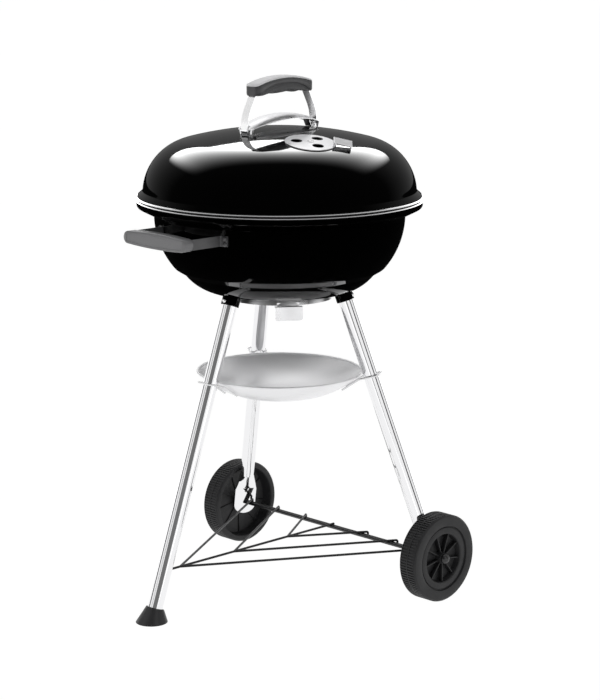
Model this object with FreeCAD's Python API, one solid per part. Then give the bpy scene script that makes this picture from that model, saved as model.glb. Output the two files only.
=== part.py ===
import FreeCAD, Part
import math
import os

# Kettle charcoal grill on three legs, two of them on wheels. Millimetres, +Z up.
# The kettle's axis is the modelling axis; the handle and the foot are towards -Y,
# the axle and its wheels towards +Y. place() moves everything to the centre of the base.

V = FreeCAD.Vector

# ---- fits ----
SHEET_GAP = 0.3          # between sheets that rest on each other and come apart
RUN_GAP = 0.05           # radial, a wheel on its axle or a damper on its rivet
PRESS_GAP = 0.02         # radial, parts pushed together
HOLE_GAP = 0.3           # radial, a wire or screw through a sheet
THROUGH = 40.0           # length of a cut that goes right through

# ---- kettle shell ----
SHELL_T = 1.2            # enamelled steel sheet
RIM_R = 241.5            # outside of the rim bands
SEAM_Z = 679.0           # where the lid meets the bowl
BOWL_BAND_H = 12.0       # height of the bowl's rim band
BAND_JOGGLE = 1.2        # drop of the bend from the rim band in to the upstand
LEDGE_R = 212.0          # foot of the sloping shoulder that carries the cooking grate
LEDGE_Z = 652.5
SHOULDER_BENDS = [1.5, 2.6, 0.6, 0.6]
STEP_R = 178.0           # outer radius of the step that carries the charcoal grate
STEP_Z = 562.0
STEP_IN = 16.0           # how far the step comes in
BOWL_TOP_ARC_R = 138.0
WALL_FOOT_ANGLE = 41.0   # degrees below level where the wall's arc meets the step
WALL_TOP_ANGLE = 1.0     # degrees below level where it meets the shoulder
BOWL_LOW_ARC_R = 80.0
BOWL_FLOOR_R = 98.0
BOWL_FLOOR_Z = 520.5
LID_APEX_Z = 797.8
LID_TOP_ARC_R = 642.0
LID_CORNER_ARC_R = 92.4
LID_WALL_R = 230.7
LID_FLARE_H = 13.5       # above the seam, where the lid's wall turns out in to its flare
LID_FLARE_LEAD = 1.5     # straight wall above that turn
LID_FLARE_OUT = 0.3      # the wall's run out over that lead
LID_ROLL_IN = 1.5        # foot of the flare, in from the rim's outside
LID_ROLL_H = 5.6
LID_EDGE_H = 3.5         # height of the lid's straight edge
LID_FLARE_BENDS = [2.0, 2.0, 1.8]
RIM_LOCATE_H = 3.0       # how far the bowl's upstand reaches inside the lid's edge
LID_TURN = 5.6           # degrees, how the lid happens to sit on the bowl

# ---- legs ----
LEG_D = 25.0
LEG_WALL = 1.2
LEG_FOOT_R = 294.5       # where each leg's axis meets the floor
LEG_TOP_R = 111.3        # and where it meets the height of the bowl's floor
LEG_AZ = {"front": -90.0, "right": 30.0, "left": 150.0}
WHEEL_TO_LEG = 4.7       # the wheel's inner face is this far inside the leg's axis
SOCKET_LEN = 14.0
SOCKET_WALL = 2.6
LEG_TOP_GAP = 2.0
LEG_SCREW_R = 2.2
LEG_SCREW_HEAD_R = 4.2
LEG_SCREW_HEAD_H = 2.4
LEG_SCREW_END = 4.0      # of the screw past the tube's wall
LEG_SCREW_AT = 0.55      # of the socket's length below the bowl
FOOT_R = 26.5
FOOT_H = 22.0
FOOT_FLOOR = 4.0
FOOT_COLLAR_WALL = 2.8
FLAT_T = 3.4             # the flattened end of a wheel leg
FLAT_W = 39.0
FLAT_START = 62.0        # above the axle, along the leg
FLAT_FULL = 30.0
FLAT_SPREAD = 70.0       # degrees of the tube's side that each flat is pressed from
FLAT_END = 25.0          # below the axle

# ---- wheels and axle ----
WHEEL_R = 75.0
WHEEL_W = 36.5
TREAD_WALL = 11.0
TREAD_LUGS = 96
TREAD_GROOVE_D = 1.6
TREAD_GROOVE_W = 2.2
TREAD_RIB_W = 2.5
FACE_STEP_R = 55.0
FACE_RING_R = 42.0
WEB_IN = 21.5            # inner side of the wheel's web, from the wheel's inner face
WEB_T = 2.5
WHEEL_RIBS = 9
WHEEL_RIB_T = 2.0
HUB_R = 10.0
HUB_IN = 15.0
AXLE_D = 8.0
HUB_CAP_R = 9.0
HUB_CAP_T = 7.5

# ---- wire rack between the legs ----
RACK_WIRE_D = 4.0
RACK_APEX_Y = (-231.0, -108.0, 19.0)
RACK_END_FROM_LEG = 18.2
RACK_END_SHARES = (1.0, 0.673, 0.341)
RACK_HOOK = 7.0
RACK_HOOK_GAP = 1.0      # behind the axle
RACK_CROSS_GAP = 1.2     # in front of it

# ---- ash catcher ----
ASH_TO_LEG = 6.2         # between the dish's rim and the legs
ASH_RIM_Z = 380.7
ASH_DEPTH = 42.0
ASH_FLAT_R = 38.0
ASH_T = 1.2
ASH_BEAD_R = 2.2
ASH_LIFT_GAP = 0.4
CLIP_WIRE_D = 3.5
CLIP_PRONG_R = 114.0

# ---- bowl damper ----
DAMPER_R = 92.0
DAMPER_T = 1.2
DAMPER_RIM_H = 9.0
DAMPER_RIM_DRAFT = 2.5   # how far the rim leans out
DAMPER_RIM_BEND = 2.0
DAMPER_GAP = 0.8
VENT_IN_R = 26.0
VENT_OUT_R = 66.0
VENT_ANGLE = 34.0
VENTS = 4
VENT_CORNER_R = 4.0
DAMPER_TAB_AZ = -35.0
DAMPER_TAB_W = 46.0
DAMPER_TAB_H = 23.0
DAMPER_TAB_OUT = 8.0
DAMPER_TAB_DROP = 2.4    # the tab's neck below the rim
DAMPER_NECK_W = 38.0
DAMPER_TAB_CORNER = 4.0
RIVET_R = 3.0
RIVET_HEAD_R = 7.0

# ---- handle on the bowl ----
GRIP_LEN = 147.0
GRIP_H = 25.5
GRIP_END_H = 19.5
GRIP_DEPTH = 20.0
GRIP_CORNER_R = 6.0
GRIP_EDGE_R = 2.5
GRIP_FRONT_Y = -281.5
GRIP_Z = 634.5
ARM_X = 74.0
ARM_H = 17.0
ARM_T = 3.0
ARM_FOOT = 13.0
ARM_BEND = 4.0
STUD_R = 2.4
STUD_NUT_R = 4.0
STUD_PITCH = 9.5

# ---- lid handle ----
HANDLE_FOOT_U = 90.0
HANDLE_MID_U = 87.0
HANDLE_MID_Z = 822.0
HANDLE_TOP_U = 62.0
HANDLE_ARM_TOP_Z = 866.0
HANDLE_BENDS = [3.5, 60.0]
HANDLE_ARM_W = 15.0
HANDLE_ARM_T = 2.5
HANDLE_FOOT_L = 13.0
HGRIP_HALF = 72.5
HGRIP_END_L = 16.0       # length of each end block under the grip
HGRIP_CORNER_R = 7.0
HGRIP_W = 28.0
HGRIP_TOP_Z = 884.5
HGRIP_END_Z = 874.0
HGRIP_END_BASE_Z = 854.5
HGRIP_BELLY_Z = 860.0
HGRIP_COVER_T = 4.0
SHIELD_T = 1.2
SHIELD_HALF_W = 28.0
SHIELD_MID_Z = 820.5
SHIELD_END_Z = 800.0
SHIELD_HALF = 95.0
SHIELD_END_W = 17.0      # half width near the ends
SHIELD_CROWN = 8.0       # how far its long edges drop below the ridge
SHIELD_LEG_W = 7.0
SHIELD_TONGUE_W = 13.0
BOLT_R = 2.9
BOLT_HEAD_R = 5.0
PAD_HALF = 38.0
PAD_W = 20.0
PAD_DEPTH = 5.0
PAD_RIBS = 15

# ---- lid damper ----
LID_VENT_RHO = 127.0
LID_VENT_AZ = -26.4      # measured from the lid handle's own frame
LID_DISC_R = 42.0
LID_DISC_T = 1.2
LID_DISC_GAP = 0.6
LID_HOLE_R = 9.5
LID_HOLE_PITCH_R = 23.0
LID_HOLES = 3
LID_HOLE_AZ = 8.0
LID_TAB_AZ = 66.0
LID_TAB_W = 30.0
LID_TAB_L = 26.0
LID_TAB_RISE = 8.0
LID_TAB_LIP = 5.0        # the tab's end, turned down
LID_TAB_LEAN = 8.0       # degrees

# ---- grates ----
COOK_RING_OUT = 9.0      # the cooking grate's ring sits this far up the shoulder
COAL_SIDE_GAP = 5.0      # round the charcoal grate, so it lifts out
COOK_RING_D = 6.0
COOK_ROD_D = 4.0
COOK_ROD_PITCH = 17.0
COOK_CROSS_D = 5.0
COOK_CROSS_X = 95.0
COOK_HANDLE_W = 70.0
COOK_HANDLE_H = 20.0
COOK_HANDLE_OUT = 38.0
COAL_RING_D = 6.0
COAL_ROD_D = 6.0
COAL_ROD_PITCH = 24.0
COAL_CROSS_X = 70.0

LEG_SLOPE = (LEG_FOOT_R - LEG_TOP_R) / BOWL_FLOOR_Z
TILT = math.degrees(math.atan(LEG_SLOPE))
BOWL_TOP_ARC_C = (STEP_R - BOWL_TOP_ARC_R * math.cos(math.radians(WALL_FOOT_ANGLE)),
                  STEP_Z + BOWL_TOP_ARC_R * math.sin(math.radians(WALL_FOOT_ANGLE)))
BOWL_LOW_ARC_C = (BOWL_FLOOR_R, BOWL_FLOOR_Z + BOWL_LOW_ARC_R)
LID_CORNER_C = (LID_WALL_R - LID_CORNER_ARC_R, 0.0)
AXLE_Z = WHEEL_R
AXLE_R = AXLE_D / 2.0
LEG_R = LEG_D / 2.0


def leg_reach(z):
    """Distance of a leg's axis from the kettle's axis at a height."""
    return LEG_FOOT_R - LEG_SLOPE * z


AXLE_Y = leg_reach(AXLE_Z) * math.sin(math.radians(LEG_AZ["right"]))
WHEEL_IN_X = leg_reach(AXLE_Z) * math.cos(math.radians(LEG_AZ["right"])) - WHEEL_TO_LEG
ASH_R = leg_reach(ASH_RIM_Z) - LEG_R / math.cos(math.radians(TILT)) - ASH_TO_LEG
BASE_SHIFT = V(0, (LEG_FOOT_R + FOOT_R - RIM_R) / 2.0, 0)


# ---- small tools ----

def save(name, shape):
    placed = shape.copy()
    placed.translate(BASE_SHIFT)
    placed.exportStep("parts/" + name + ".step")
    print(name, "solids", len(placed.Solids), "valid", placed.isValid(), "volume", round(placed.Volume))


def turned(shape, degrees, axis=V(0, 0, 1), about=V(0, 0, 0)):
    copy = shape.copy()
    copy.rotate(about, axis, degrees)
    return copy


def moved(shape, x=0.0, y=0.0, z=0.0):
    copy = shape.copy()
    copy.translate(V(x, y, z))
    return copy


def cylinder(radius, length, base, direction):
    return Part.makeCylinder(radius, length, base, direction)


def line(a, b):
    return Part.LineSegment(a, b).toShape()


def arc(a, mid, b):
    return Part.Arc(a, mid, b).toShape()


def arc_about(cx, cz, radius, start, end):
    """An arc in the XZ plane between two angles in degrees."""
    def at(angle):
        return V(cx + radius * math.cos(math.radians(angle)), 0, cz + radius * math.sin(math.radians(angle)))
    return arc(at(start), at((start + end) / 2.0), at(end))


def rounded_path(points, radius):
    """Straight runs joined by tangent arcs; radius is one number or one per inner point."""
    edges = []
    here = points[0]
    for i in range(1, len(points) - 1):
        corner = points[i]
        r = radius[i - 1] if isinstance(radius, (list, tuple)) else radius
        before = (points[i - 1] - corner).normalize()
        after = (points[i + 1] - corner).normalize()
        half = before.getAngle(after) / 2.0
        cut = r / math.tan(half)
        start = corner + before * cut
        end = corner + after * cut
        bisector = (before + after).normalize()
        centre = corner + bisector * (r / math.sin(half))
        middle = centre - bisector * r
        if (start - here).Length > 1e-4:
            edges.append(line(here, start))
        edges.append(arc(start, middle, end))
        here = end
    edges.append(line(here, points[-1]))
    return edges


def wire_rod(points, bend, radius):
    """A round wire along straight runs and tangent bends."""
    if len(points) == 2:
        run = points[1] - points[0]
        return cylinder(radius, run.Length, points[0], run)
    path = Part.Wire(rounded_path(points, bend))
    ring = Part.Wire(Part.makeCircle(radius, points[0], points[1] - points[0]))
    return path.makePipeShell([ring], True, False)


def sheet_of_turn(edges, thickness):
    """Revolve an open XZ outline, thickened to its left, about Z."""
    outline = Part.Wire(edges)
    band = outline.makeOffset2D(thickness, 0, True, True, False)
    return band.revolve(V(0, 0, 0), V(0, 0, 1), 360)


def torus(major, minor, z):
    return moved(Part.makeTorus(major, minor), 0, 0, z)


def fused(shapes):
    whole = shapes[0]
    if len(shapes) > 1:
        whole = shapes[0].fuse(shapes[1:])
    return whole.removeSplitter()


def to_leg(shape, azimuth):
    """From a leg's own frame (Z up the tube, X outwards) to the kettle's."""
    placed = turned(shape, -TILT, V(0, 1, 0))
    placed.translate(V(LEG_FOOT_R, 0, 0))
    return turned(placed, azimuth)


def along_leg(z):
    """Distance up a leg's own axis to a height."""
    return z / math.cos(math.radians(TILT))


# ---- bowl ----

def bowl_outline():
    """The bowl's outside, from the middle of its floor to its upstand."""
    def on_low(r):
        dr = r - BOWL_LOW_ARC_C[0]
        return V(r, 0, BOWL_LOW_ARC_C[1] - math.sqrt(BOWL_LOW_ARC_R ** 2 - dr ** 2))

    step_in = on_low(STEP_R - STEP_IN)
    low_end = math.degrees(math.atan2(step_in.z - BOWL_LOW_ARC_C[1], step_in.x - BOWL_LOW_ARC_C[0]))
    step_out = V(STEP_R, 0, STEP_Z)
    ledge = V(BOWL_TOP_ARC_C[0] + BOWL_TOP_ARC_R * math.cos(math.radians(WALL_TOP_ANGLE)), 0,
              BOWL_TOP_ARC_C[1] - BOWL_TOP_ARC_R * math.sin(math.radians(WALL_TOP_ANGLE)))
    band_foot = SEAM_Z - BOWL_BAND_H
    neck_r = RIM_R - SHELL_T - SHEET_GAP * 2
    edges = [line(V(0, 0, BOWL_FLOOR_Z), V(BOWL_FLOOR_R, 0, BOWL_FLOOR_Z))]
    edges.append(arc_about(BOWL_LOW_ARC_C[0], BOWL_LOW_ARC_C[1], BOWL_LOW_ARC_R, -90, low_end))
    edges.append(line(step_in, step_out))
    edges.append(arc_about(BOWL_TOP_ARC_C[0], BOWL_TOP_ARC_C[1], BOWL_TOP_ARC_R, -WALL_FOOT_ANGLE, -WALL_TOP_ANGLE))
    shoulder = [ledge, V(LEDGE_R, 0, LEDGE_Z), V(RIM_R, 0, band_foot), V(RIM_R, 0, SEAM_Z - SHEET_GAP - BAND_JOGGLE),
                V(neck_r, 0, SEAM_Z - SHEET_GAP), V(neck_r, 0, SEAM_Z + RIM_LOCATE_H)]
    edges += rounded_path(shoulder, SHOULDER_BENDS)
    return edges


def bowl_shell():
    shell = sheet_of_turn(bowl_outline(), SHELL_T)
    for i in range(VENTS):
        shell = shell.cut(vent_slot(i, BOWL_FLOOR_Z - 5, 10))
    centre_hole = cylinder(RIVET_R + PRESS_GAP, 10, V(0, 0, BOWL_FLOOR_Z - 5), V(0, 0, 1))
    return shell.cut(centre_hole)


def bowl_mass():
    """The bowl as a filled body, to trim what is welded to its outside."""
    edges = bowl_outline()
    top = V(RIM_R - SHELL_T - SHEET_GAP * 2, 0, SEAM_Z + RIM_LOCATE_H)
    edges += [line(top, V(0, 0, top.z)), line(V(0, 0, top.z), V(0, 0, BOWL_FLOOR_Z))]
    return Part.Face(Part.Wire(edges)).revolve(V(0, 0, 0), V(0, 0, 1), 360)


def vent_slot(index, z, height):
    """One rounded air slot, as a block to cut with."""
    half = VENT_ANGLE / 2.0
    mid_az = DAMPER_TAB_AZ + 45.0 + index * 360.0 / VENTS
    inner = [math.radians(mid_az + a) for a in (-half, 0, half)]
    p = [V(VENT_IN_R * math.cos(a), VENT_IN_R * math.sin(a), z) for a in inner]
    q = [V(VENT_OUT_R * math.cos(a), VENT_OUT_R * math.sin(a), z) for a in inner]
    outline = Part.Wire([arc(p[0], p[1], p[2]), line(p[2], q[2]), arc(q[2], q[1], q[0]), line(q[0], p[0])])
    block = Part.Face(outline).extrude(V(0, 0, height))
    uprights = [e for e in block.Edges if abs(e.Vertexes[0].Z - e.Vertexes[-1].Z) > height / 2]
    return block.makeFillet(VENT_CORNER_R, uprights)


def leg_meets_bowl():
    """Distance up a leg's axis to the bowl's outside."""
    cx, cz = BOWL_LOW_ARC_C
    a = 1 + LEG_SLOPE ** 2
    b = -2 * (LEG_SLOPE * (LEG_FOOT_R - cx) + cz)
    c = (LEG_FOOT_R - cx) ** 2 + cz ** 2 - BOWL_LOW_ARC_R ** 2
    z = (-b - math.sqrt(b * b - 4 * a * c)) / (2 * a)
    return along_leg(z)


def leg_socket(azimuth, filled_bowl):
    """A short cup welded under the bowl; the leg pushes into it."""
    top = leg_meets_bowl()
    outer = LEG_R + SOCKET_WALL
    low = top - SOCKET_LEN
    body = cylinder(outer, SOCKET_LEN + THROUGH, V(0, 0, low), V(0, 0, 1))
    bore = cylinder(LEG_R + PRESS_GAP, SOCKET_LEN + THROUGH, V(0, 0, low), V(0, 0, 1))
    cup = body.cut(bore).cut(leg_screw_hole())
    return to_leg(cup, azimuth).cut(filled_bowl)


def leg_screw_height():
    """Where the screw that holds a leg crosses it, along the leg."""
    return leg_meets_bowl() - SOCKET_LEN * LEG_SCREW_AT


def leg_screw_hole():
    return cylinder(LEG_SCREW_R + PRESS_GAP, LEG_D, V(0, 0, leg_screw_height()), V(1, 0, 0))


def leg_screws():
    """One screw through each socket and leg, from outside."""
    seat = LEG_R + SOCKET_WALL
    at = V(seat, 0, leg_screw_height())
    shank = cylinder(LEG_SCREW_R, SOCKET_WALL + LEG_WALL + LEG_SCREW_END, at + V(0.5, 0, 0), V(-1, 0, 0))
    screw = fused([shank, dome_head(LEG_SCREW_HEAD_R, LEG_SCREW_HEAD_H, at + V(0.2, 0, 0), V(1, 0, 0))])
    return Part.makeCompound([to_leg(screw, azimuth) for azimuth in LEG_AZ.values()])


# ---- legs ----

def tube(low, high):
    outer = cylinder(LEG_R, high - low, V(0, 0, low), V(0, 0, 1))
    bore = cylinder(LEG_R - LEG_WALL, high - low, V(0, 0, low), V(0, 0, 1))
    return outer.cut(bore)


def front_leg():
    low = (FOOT_FLOOR + LEG_R * math.sin(math.radians(TILT))) / math.cos(math.radians(TILT))
    leg = tube(low, leg_meets_bowl() - LEG_TOP_GAP).cut(leg_screw_hole())
    leg = to_leg(leg, LEG_AZ["front"])
    hole = cylinder(RACK_WIRE_D / 2 + HOLE_GAP, LEG_D, V(0, -leg_reach(rack_z()), rack_z()), V(0, 1, 0))
    return leg.cut(hole)


def half_round_slot(half_w, half_t, s):
    """A flat loop with round ends, in the leg's own XY plane, as four edges."""
    y = half_w - half_t
    corners = [V(half_t, -y, s), V(half_t, y, s), V(-half_t, y, s), V(-half_t, -y, s)]
    return Part.Wire([line(corners[0], corners[1]), arc(corners[1], V(0, half_w, s), corners[2]),
                      line(corners[2], corners[3]), arc(corners[3], V(0, -half_w, s), corners[0])])


def quartered_circle(radius, s, spread):
    """A circle as four arcs whose wide pair face the flats."""
    def at(angle):
        return V(radius * math.cos(math.radians(angle)), radius * math.sin(math.radians(angle)), s)
    return Part.Wire([arc(at(-spread), at(0), at(spread)), arc(at(spread), at(90), at(180 - spread)),
                      arc(at(180 - spread), at(180), at(180 + spread)),
                      arc(at(180 + spread), at(270), at(360 - spread))])


def wheel_leg(azimuth):
    """A tube whose lower end is pressed flat round the axle."""
    s_axle = along_leg(AXLE_Z)
    s_round = s_axle + FLAT_START
    s_flat = s_axle + FLAT_FULL
    upper = tube(s_round, leg_meets_bowl() - LEG_TOP_GAP).cut(leg_screw_hole())
    neck = Part.makeLoft([quartered_circle(LEG_R, s_round, FLAT_SPREAD), half_round_slot(FLAT_W / 2, FLAT_T / 2, s_flat)],
                         True, True)
    end_centre = s_axle - FLAT_END + FLAT_W / 2
    pad = Part.makeBox(FLAT_T, FLAT_W, s_flat - end_centre, V(-FLAT_T / 2, -FLAT_W / 2, end_centre))
    nose = cylinder(FLAT_W / 2, FLAT_T, V(-FLAT_T / 2, 0, end_centre), V(1, 0, 0))
    leg = to_leg(fused([upper, neck, pad, nose]), azimuth)
    side = 1 if math.cos(math.radians(azimuth)) > 0 else -1
    hole = cylinder(AXLE_R + RUN_GAP, 80, V(side * (WHEEL_IN_X - 30), AXLE_Y, AXLE_Z), V(side, 0, 0))
    return leg.cut(hole)


def foot_cap():
    """A flared plastic foot with a socket for the front leg."""
    s_collar = along_leg(FOOT_H)
    collar = LEG_R + FOOT_COLLAR_WALL
    top_dir = V(-math.sin(math.radians(TILT)), 0, math.cos(math.radians(TILT)))
    top_at = V(LEG_FOOT_R, 0, 0) + top_dir * s_collar
    base = Part.Wire(Part.makeCircle(FOOT_R, V(LEG_FOOT_R, 0, 0), V(0, 0, 1)))
    mouth = Part.Wire(Part.makeCircle(collar, top_at, top_dir))
    body = Part.makeLoft([base, mouth], True, True)
    low = (FOOT_FLOOR + LEG_R * math.sin(math.radians(TILT))) / math.cos(math.radians(TILT))
    bore = cylinder(LEG_R + PRESS_GAP, 60, V(LEG_FOOT_R, 0, 0) + top_dir * (low - PRESS_GAP), top_dir)
    return turned(body.cut(bore), LEG_AZ["front"])


# ---- wheels, axle, rack ----

def wheel_outline(x_of):
    """Half section of the wheel's ring and web; x_of turns a distance outwards into X."""
    w = WHEEL_W
    web_in = WEB_IN
    hub_in = HUB_IN
    inner_r = WHEEL_R - TREAD_WALL
    points = [(AXLE_R + RUN_GAP, hub_in), (HUB_R, hub_in), (HUB_R + 1.5, web_in), (inner_r - 2.5, web_in),
              (inner_r, 2.0), (inner_r + 1.0, 0.0), (WHEEL_R - 2.5, 0.0), (WHEEL_R, 2.5), (WHEEL_R, w - 2.5),
              (WHEEL_R - 2.5, w), (FACE_STEP_R + 1.2, w), (FACE_STEP_R, w - 2.2), (FACE_RING_R + 1.5, w - 2.2),
              (FACE_RING_R, w - 4.0), (FACE_RING_R - 3.0, web_in + WEB_T), (HUB_R + 1.5, web_in + WEB_T),
              (HUB_R, w - 1.0), (AXLE_R + RUN_GAP, w - 1.0)]
    return [V(x_of(x), r, 0) for r, x in points]


def wheel(side):
    """A one-piece plastic wheel: grooved tread, ribbed face, web and hub."""
    def x_of(outwards):
        return side * (WHEEL_IN_X + outwards)

    points = wheel_outline(x_of)
    disc = Part.Face(Part.makePolygon(points + [points[0]])).revolve(V(0, 0, 0), V(1, 0, 0), 360)
    ribs = []
    rib_out = WHEEL_W - 4.5
    web_in = WEB_IN
    for i in range(WHEEL_RIBS):
        length = FACE_RING_R - HUB_R + 1.0
        low_x = min(x_of(web_in), x_of(rib_out))
        rib = Part.makeBox(rib_out - web_in, WHEEL_RIB_T, length, V(low_x, -WHEEL_RIB_T / 2, HUB_R - 1.0))
        ribs.append(turned(rib, 20 + i * 360.0 / WHEEL_RIBS, V(1, 0, 0)))
        back_len = WHEEL_R - TREAD_WALL - HUB_R - 1.0
        low_back = min(x_of(web_in - 1.4), x_of(web_in + 0.5))
        back = Part.makeBox(1.9, WHEEL_RIB_T, back_len, V(low_back, -WHEEL_RIB_T / 2, HUB_R))
        ribs.append(turned(back, 20 + i * 360.0 / WHEEL_RIBS, V(1, 0, 0)))
    body = disc.fuse(ribs)
    row = (WHEEL_W - TREAD_RIB_W) / 2.0 - 3.0
    grooves = []
    for i in range(TREAD_LUGS):
        for start in (3.0, WHEEL_W / 2 + TREAD_RIB_W / 2):
            low_x = min(x_of(start), x_of(start + row))
            cut = Part.makeBox(row, TREAD_GROOVE_W, TREAD_GROOVE_D * 2,
                               V(low_x, -TREAD_GROOVE_W / 2, WHEEL_R - TREAD_GROOVE_D))
            grooves.append(turned(cut, i * 360.0 / TREAD_LUGS, V(1, 0, 0)))
    body = body.cut(Part.makeCompound(grooves))
    return moved(body, 0, AXLE_Y, AXLE_Z)


def axle_half_length():
    return WHEEL_IN_X + WHEEL_W + HUB_CAP_T - 2.0


def axle():
    half = axle_half_length()
    return cylinder(AXLE_R, half * 2, V(-half, AXLE_Y, AXLE_Z), V(1, 0, 0))


def hub_cap(side):
    """A domed push-on cap over the axle's end."""
    x0 = WHEEL_IN_X + WHEEL_W - 1.0 + SHEET_GAP
    x1 = WHEEL_IN_X + WHEEL_W + HUB_CAP_T + 1.0
    rise = x1 - x0 - 3.0
    dome_r = (HUB_CAP_R ** 2 + rise ** 2) / (2 * rise)
    skirt = cylinder(HUB_CAP_R, 3.0, V(x0, 0, 0), V(1, 0, 0))
    ball = Part.makeSphere(dome_r, V(x1 - dome_r, 0, 0))
    keep = cylinder(HUB_CAP_R, rise, V(x0 + 3.0, 0, 0), V(1, 0, 0))
    cap = fused([skirt, ball.common(keep)])
    bore = cylinder(AXLE_R + PRESS_GAP, axle_half_length() - x0 + PRESS_GAP, V(x0, 0, 0), V(1, 0, 0))
    cap = cap.cut(bore)
    if side < 0:
        cap = cap.mirror(V(0, 0, 0), V(1, 0, 0))
    return moved(cap, 0, AXLE_Y, AXLE_Z)


def rack_z():
    return AXLE_Z + AXLE_R + RACK_WIRE_D / 2 + PRESS_GAP


def bottom_rack():
    """Nested wire arrows on one spine, hooked over the axle, with a cross wire in front of it."""
    r = RACK_WIRE_D / 2
    z = rack_z()
    wires = [wire_rod([V(0, -leg_reach(z), z), V(0, AXLE_Y, z)], 0, r)]
    widest = WHEEL_IN_X + WHEEL_TO_LEG - RACK_END_FROM_LEG
    for apex_y, share in zip(RACK_APEX_Y, RACK_END_SHARES):
        end_x = widest * share
        for side in (1, -1):
            run = V(side * end_x, AXLE_Y, z) - V(0, apex_y, z)
            run.normalize()
            over = V(side * end_x, AXLE_Y, z) + run * ((AXLE_R + r + RACK_HOOK_GAP) / run.y)
            tip = over + V(0, 0, -RACK_HOOK)
            wires.append(wire_rod([V(0, apex_y, z), over, tip], r + 0.6, r))
    cross_y = AXLE_Y - AXLE_R - r - RACK_CROSS_GAP
    cross_z = z - 2 * r + 0.4
    reach = widest - 4.0
    wires.append(wire_rod([V(-reach, cross_y, cross_z), V(reach, cross_y, cross_z)], 0, r))
    return fused(wires)


# ---- ash catcher ----

def ash_profile_z(r):
    """Height of the dish's underside at a radius."""
    rise = ASH_DEPTH
    run = ASH_R - ASH_FLAT_R
    big = (run ** 2 + rise ** 2) / (2 * rise)
    base = ASH_RIM_Z - ASH_DEPTH
    return base + big - math.sqrt(big ** 2 - max(0.0, r - ASH_FLAT_R) ** 2)


def ash_catcher():
    """A shallow dish with a flat middle and a rolled rim."""
    base = ASH_RIM_Z - ASH_DEPTH
    mid_r = (ASH_FLAT_R + ASH_R) / 2
    edges = [line(V(0, 0, base), V(ASH_FLAT_R, 0, base)),
             arc(V(ASH_FLAT_R, 0, base), V(mid_r, 0, ash_profile_z(mid_r)), V(ASH_R, 0, ASH_RIM_Z))]
    band = Part.Wire(edges).makeOffset2D(ASH_T, 0, True, True, False)
    bead_at = V(ASH_R - ASH_BEAD_R * 0.4, 0, ASH_RIM_Z)
    bead = Part.Face(Part.Wire(Part.makeCircle(ASH_BEAD_R, bead_at, V(0, 1, 0))))
    section = band.fuse(bead).removeSplitter()
    return section.Faces[0].revolve(V(0, 0, 0), V(0, 0, 1), 360)


def ash_clip(azimuth):
    """A wire loop round the outside of a leg, with two prongs under the dish."""
    r = CLIP_WIRE_D / 2
    half = LEG_R + r + SHEET_GAP
    leg_here = leg_reach(ASH_RIM_Z)
    outside = leg_here + LEG_R / math.cos(math.radians(TILT)) + r + SHEET_GAP
    drop = r + ASH_BEAD_R + ASH_LIFT_GAP
    loop_z = ASH_RIM_Z + 5.0
    rim_z = ASH_RIM_Z - drop
    tip_z = ash_profile_z(CLIP_PRONG_R) - r - ASH_LIFT_GAP - 1.2
    near = ASH_R + 2.0
    points = [V(CLIP_PRONG_R, -half, tip_z), V(near, -half, rim_z), V(outside, -half, loop_z),
              V(outside, half, loop_z), V(near, half, rim_z), V(CLIP_PRONG_R, half, tip_z)]
    return turned(wire_rod(points, [4.0, 5.0, 5.0, 4.0], r), azimuth)


# ---- bowl damper ----

def bowl_damper():
    """A disc with a turned-down rim, air slots to match the bowl's and a finger tab."""
    top = BOWL_FLOOR_Z - DAMPER_GAP
    edges = rounded_path([V(0, 0, top), V(DAMPER_R - DAMPER_RIM_DRAFT, 0, top), V(DAMPER_R, 0, top - DAMPER_RIM_H)],
                         DAMPER_RIM_BEND)
    disc = sheet_of_turn(list(edges), DAMPER_T)
    if disc.BoundBox.ZMax > top + 0.1:
        disc = sheet_of_turn(list(edges), -DAMPER_T)
    for i in range(VENTS):
        disc = disc.cut(vent_slot(i, top - 5, 10))
    disc = disc.cut(cylinder(RIVET_R + RUN_GAP, 12, V(0, 0, top - 6), V(0, 0, 1)))
    rim_z = top - DAMPER_RIM_H
    shelf_z = rim_z - DAMPER_TAB_DROP
    reach = DAMPER_R + DAMPER_TAB_OUT
    sagitta = DAMPER_R - math.sqrt(DAMPER_R ** 2 - (DAMPER_NECK_W / 2) ** 2)
    neck_x = DAMPER_R - sagitta - DAMPER_T
    neck = Part.makeBox(DAMPER_T, DAMPER_NECK_W, DAMPER_RIM_H / 2 + DAMPER_TAB_DROP,
                        V(neck_x, -DAMPER_NECK_W / 2, shelf_z))
    shelf = Part.makeBox(reach - neck_x, DAMPER_TAB_W, DAMPER_T, V(neck_x, -DAMPER_TAB_W / 2, shelf_z))
    blade = Part.makeBox(DAMPER_T, DAMPER_TAB_W, DAMPER_TAB_H,
                         V(reach - DAMPER_T, -DAMPER_TAB_W / 2, shelf_z + DAMPER_T - DAMPER_TAB_H))
    corners = [e for e in blade.Edges if abs(e.Vertexes[0].X - e.Vertexes[-1].X) > DAMPER_T / 2
               and e.Vertexes[0].Z < shelf_z - 1]
    blade = blade.makeFillet(DAMPER_TAB_CORNER, corners)
    tab = turned(fused([neck, shelf, blade]), DAMPER_TAB_AZ)
    return fused([disc, tab])


def bowl_damper_rivet():
    """The pin the damper turns on, headed inside the bowl and under the damper."""
    top = BOWL_FLOOR_Z + SHELL_T
    low = BOWL_FLOOR_Z - DAMPER_GAP - DAMPER_T
    pin = cylinder(RIVET_R, top - low + 4, V(0, 0, low - 2), V(0, 0, 1))
    upper = dome_head(RIVET_HEAD_R, 3.0, V(0, 0, top), V(0, 0, 1))
    lower = dome_head(RIVET_HEAD_R, 2.5, V(0, 0, low - SHEET_GAP), V(0, 0, -1))
    return fused([pin, upper, lower])


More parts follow.
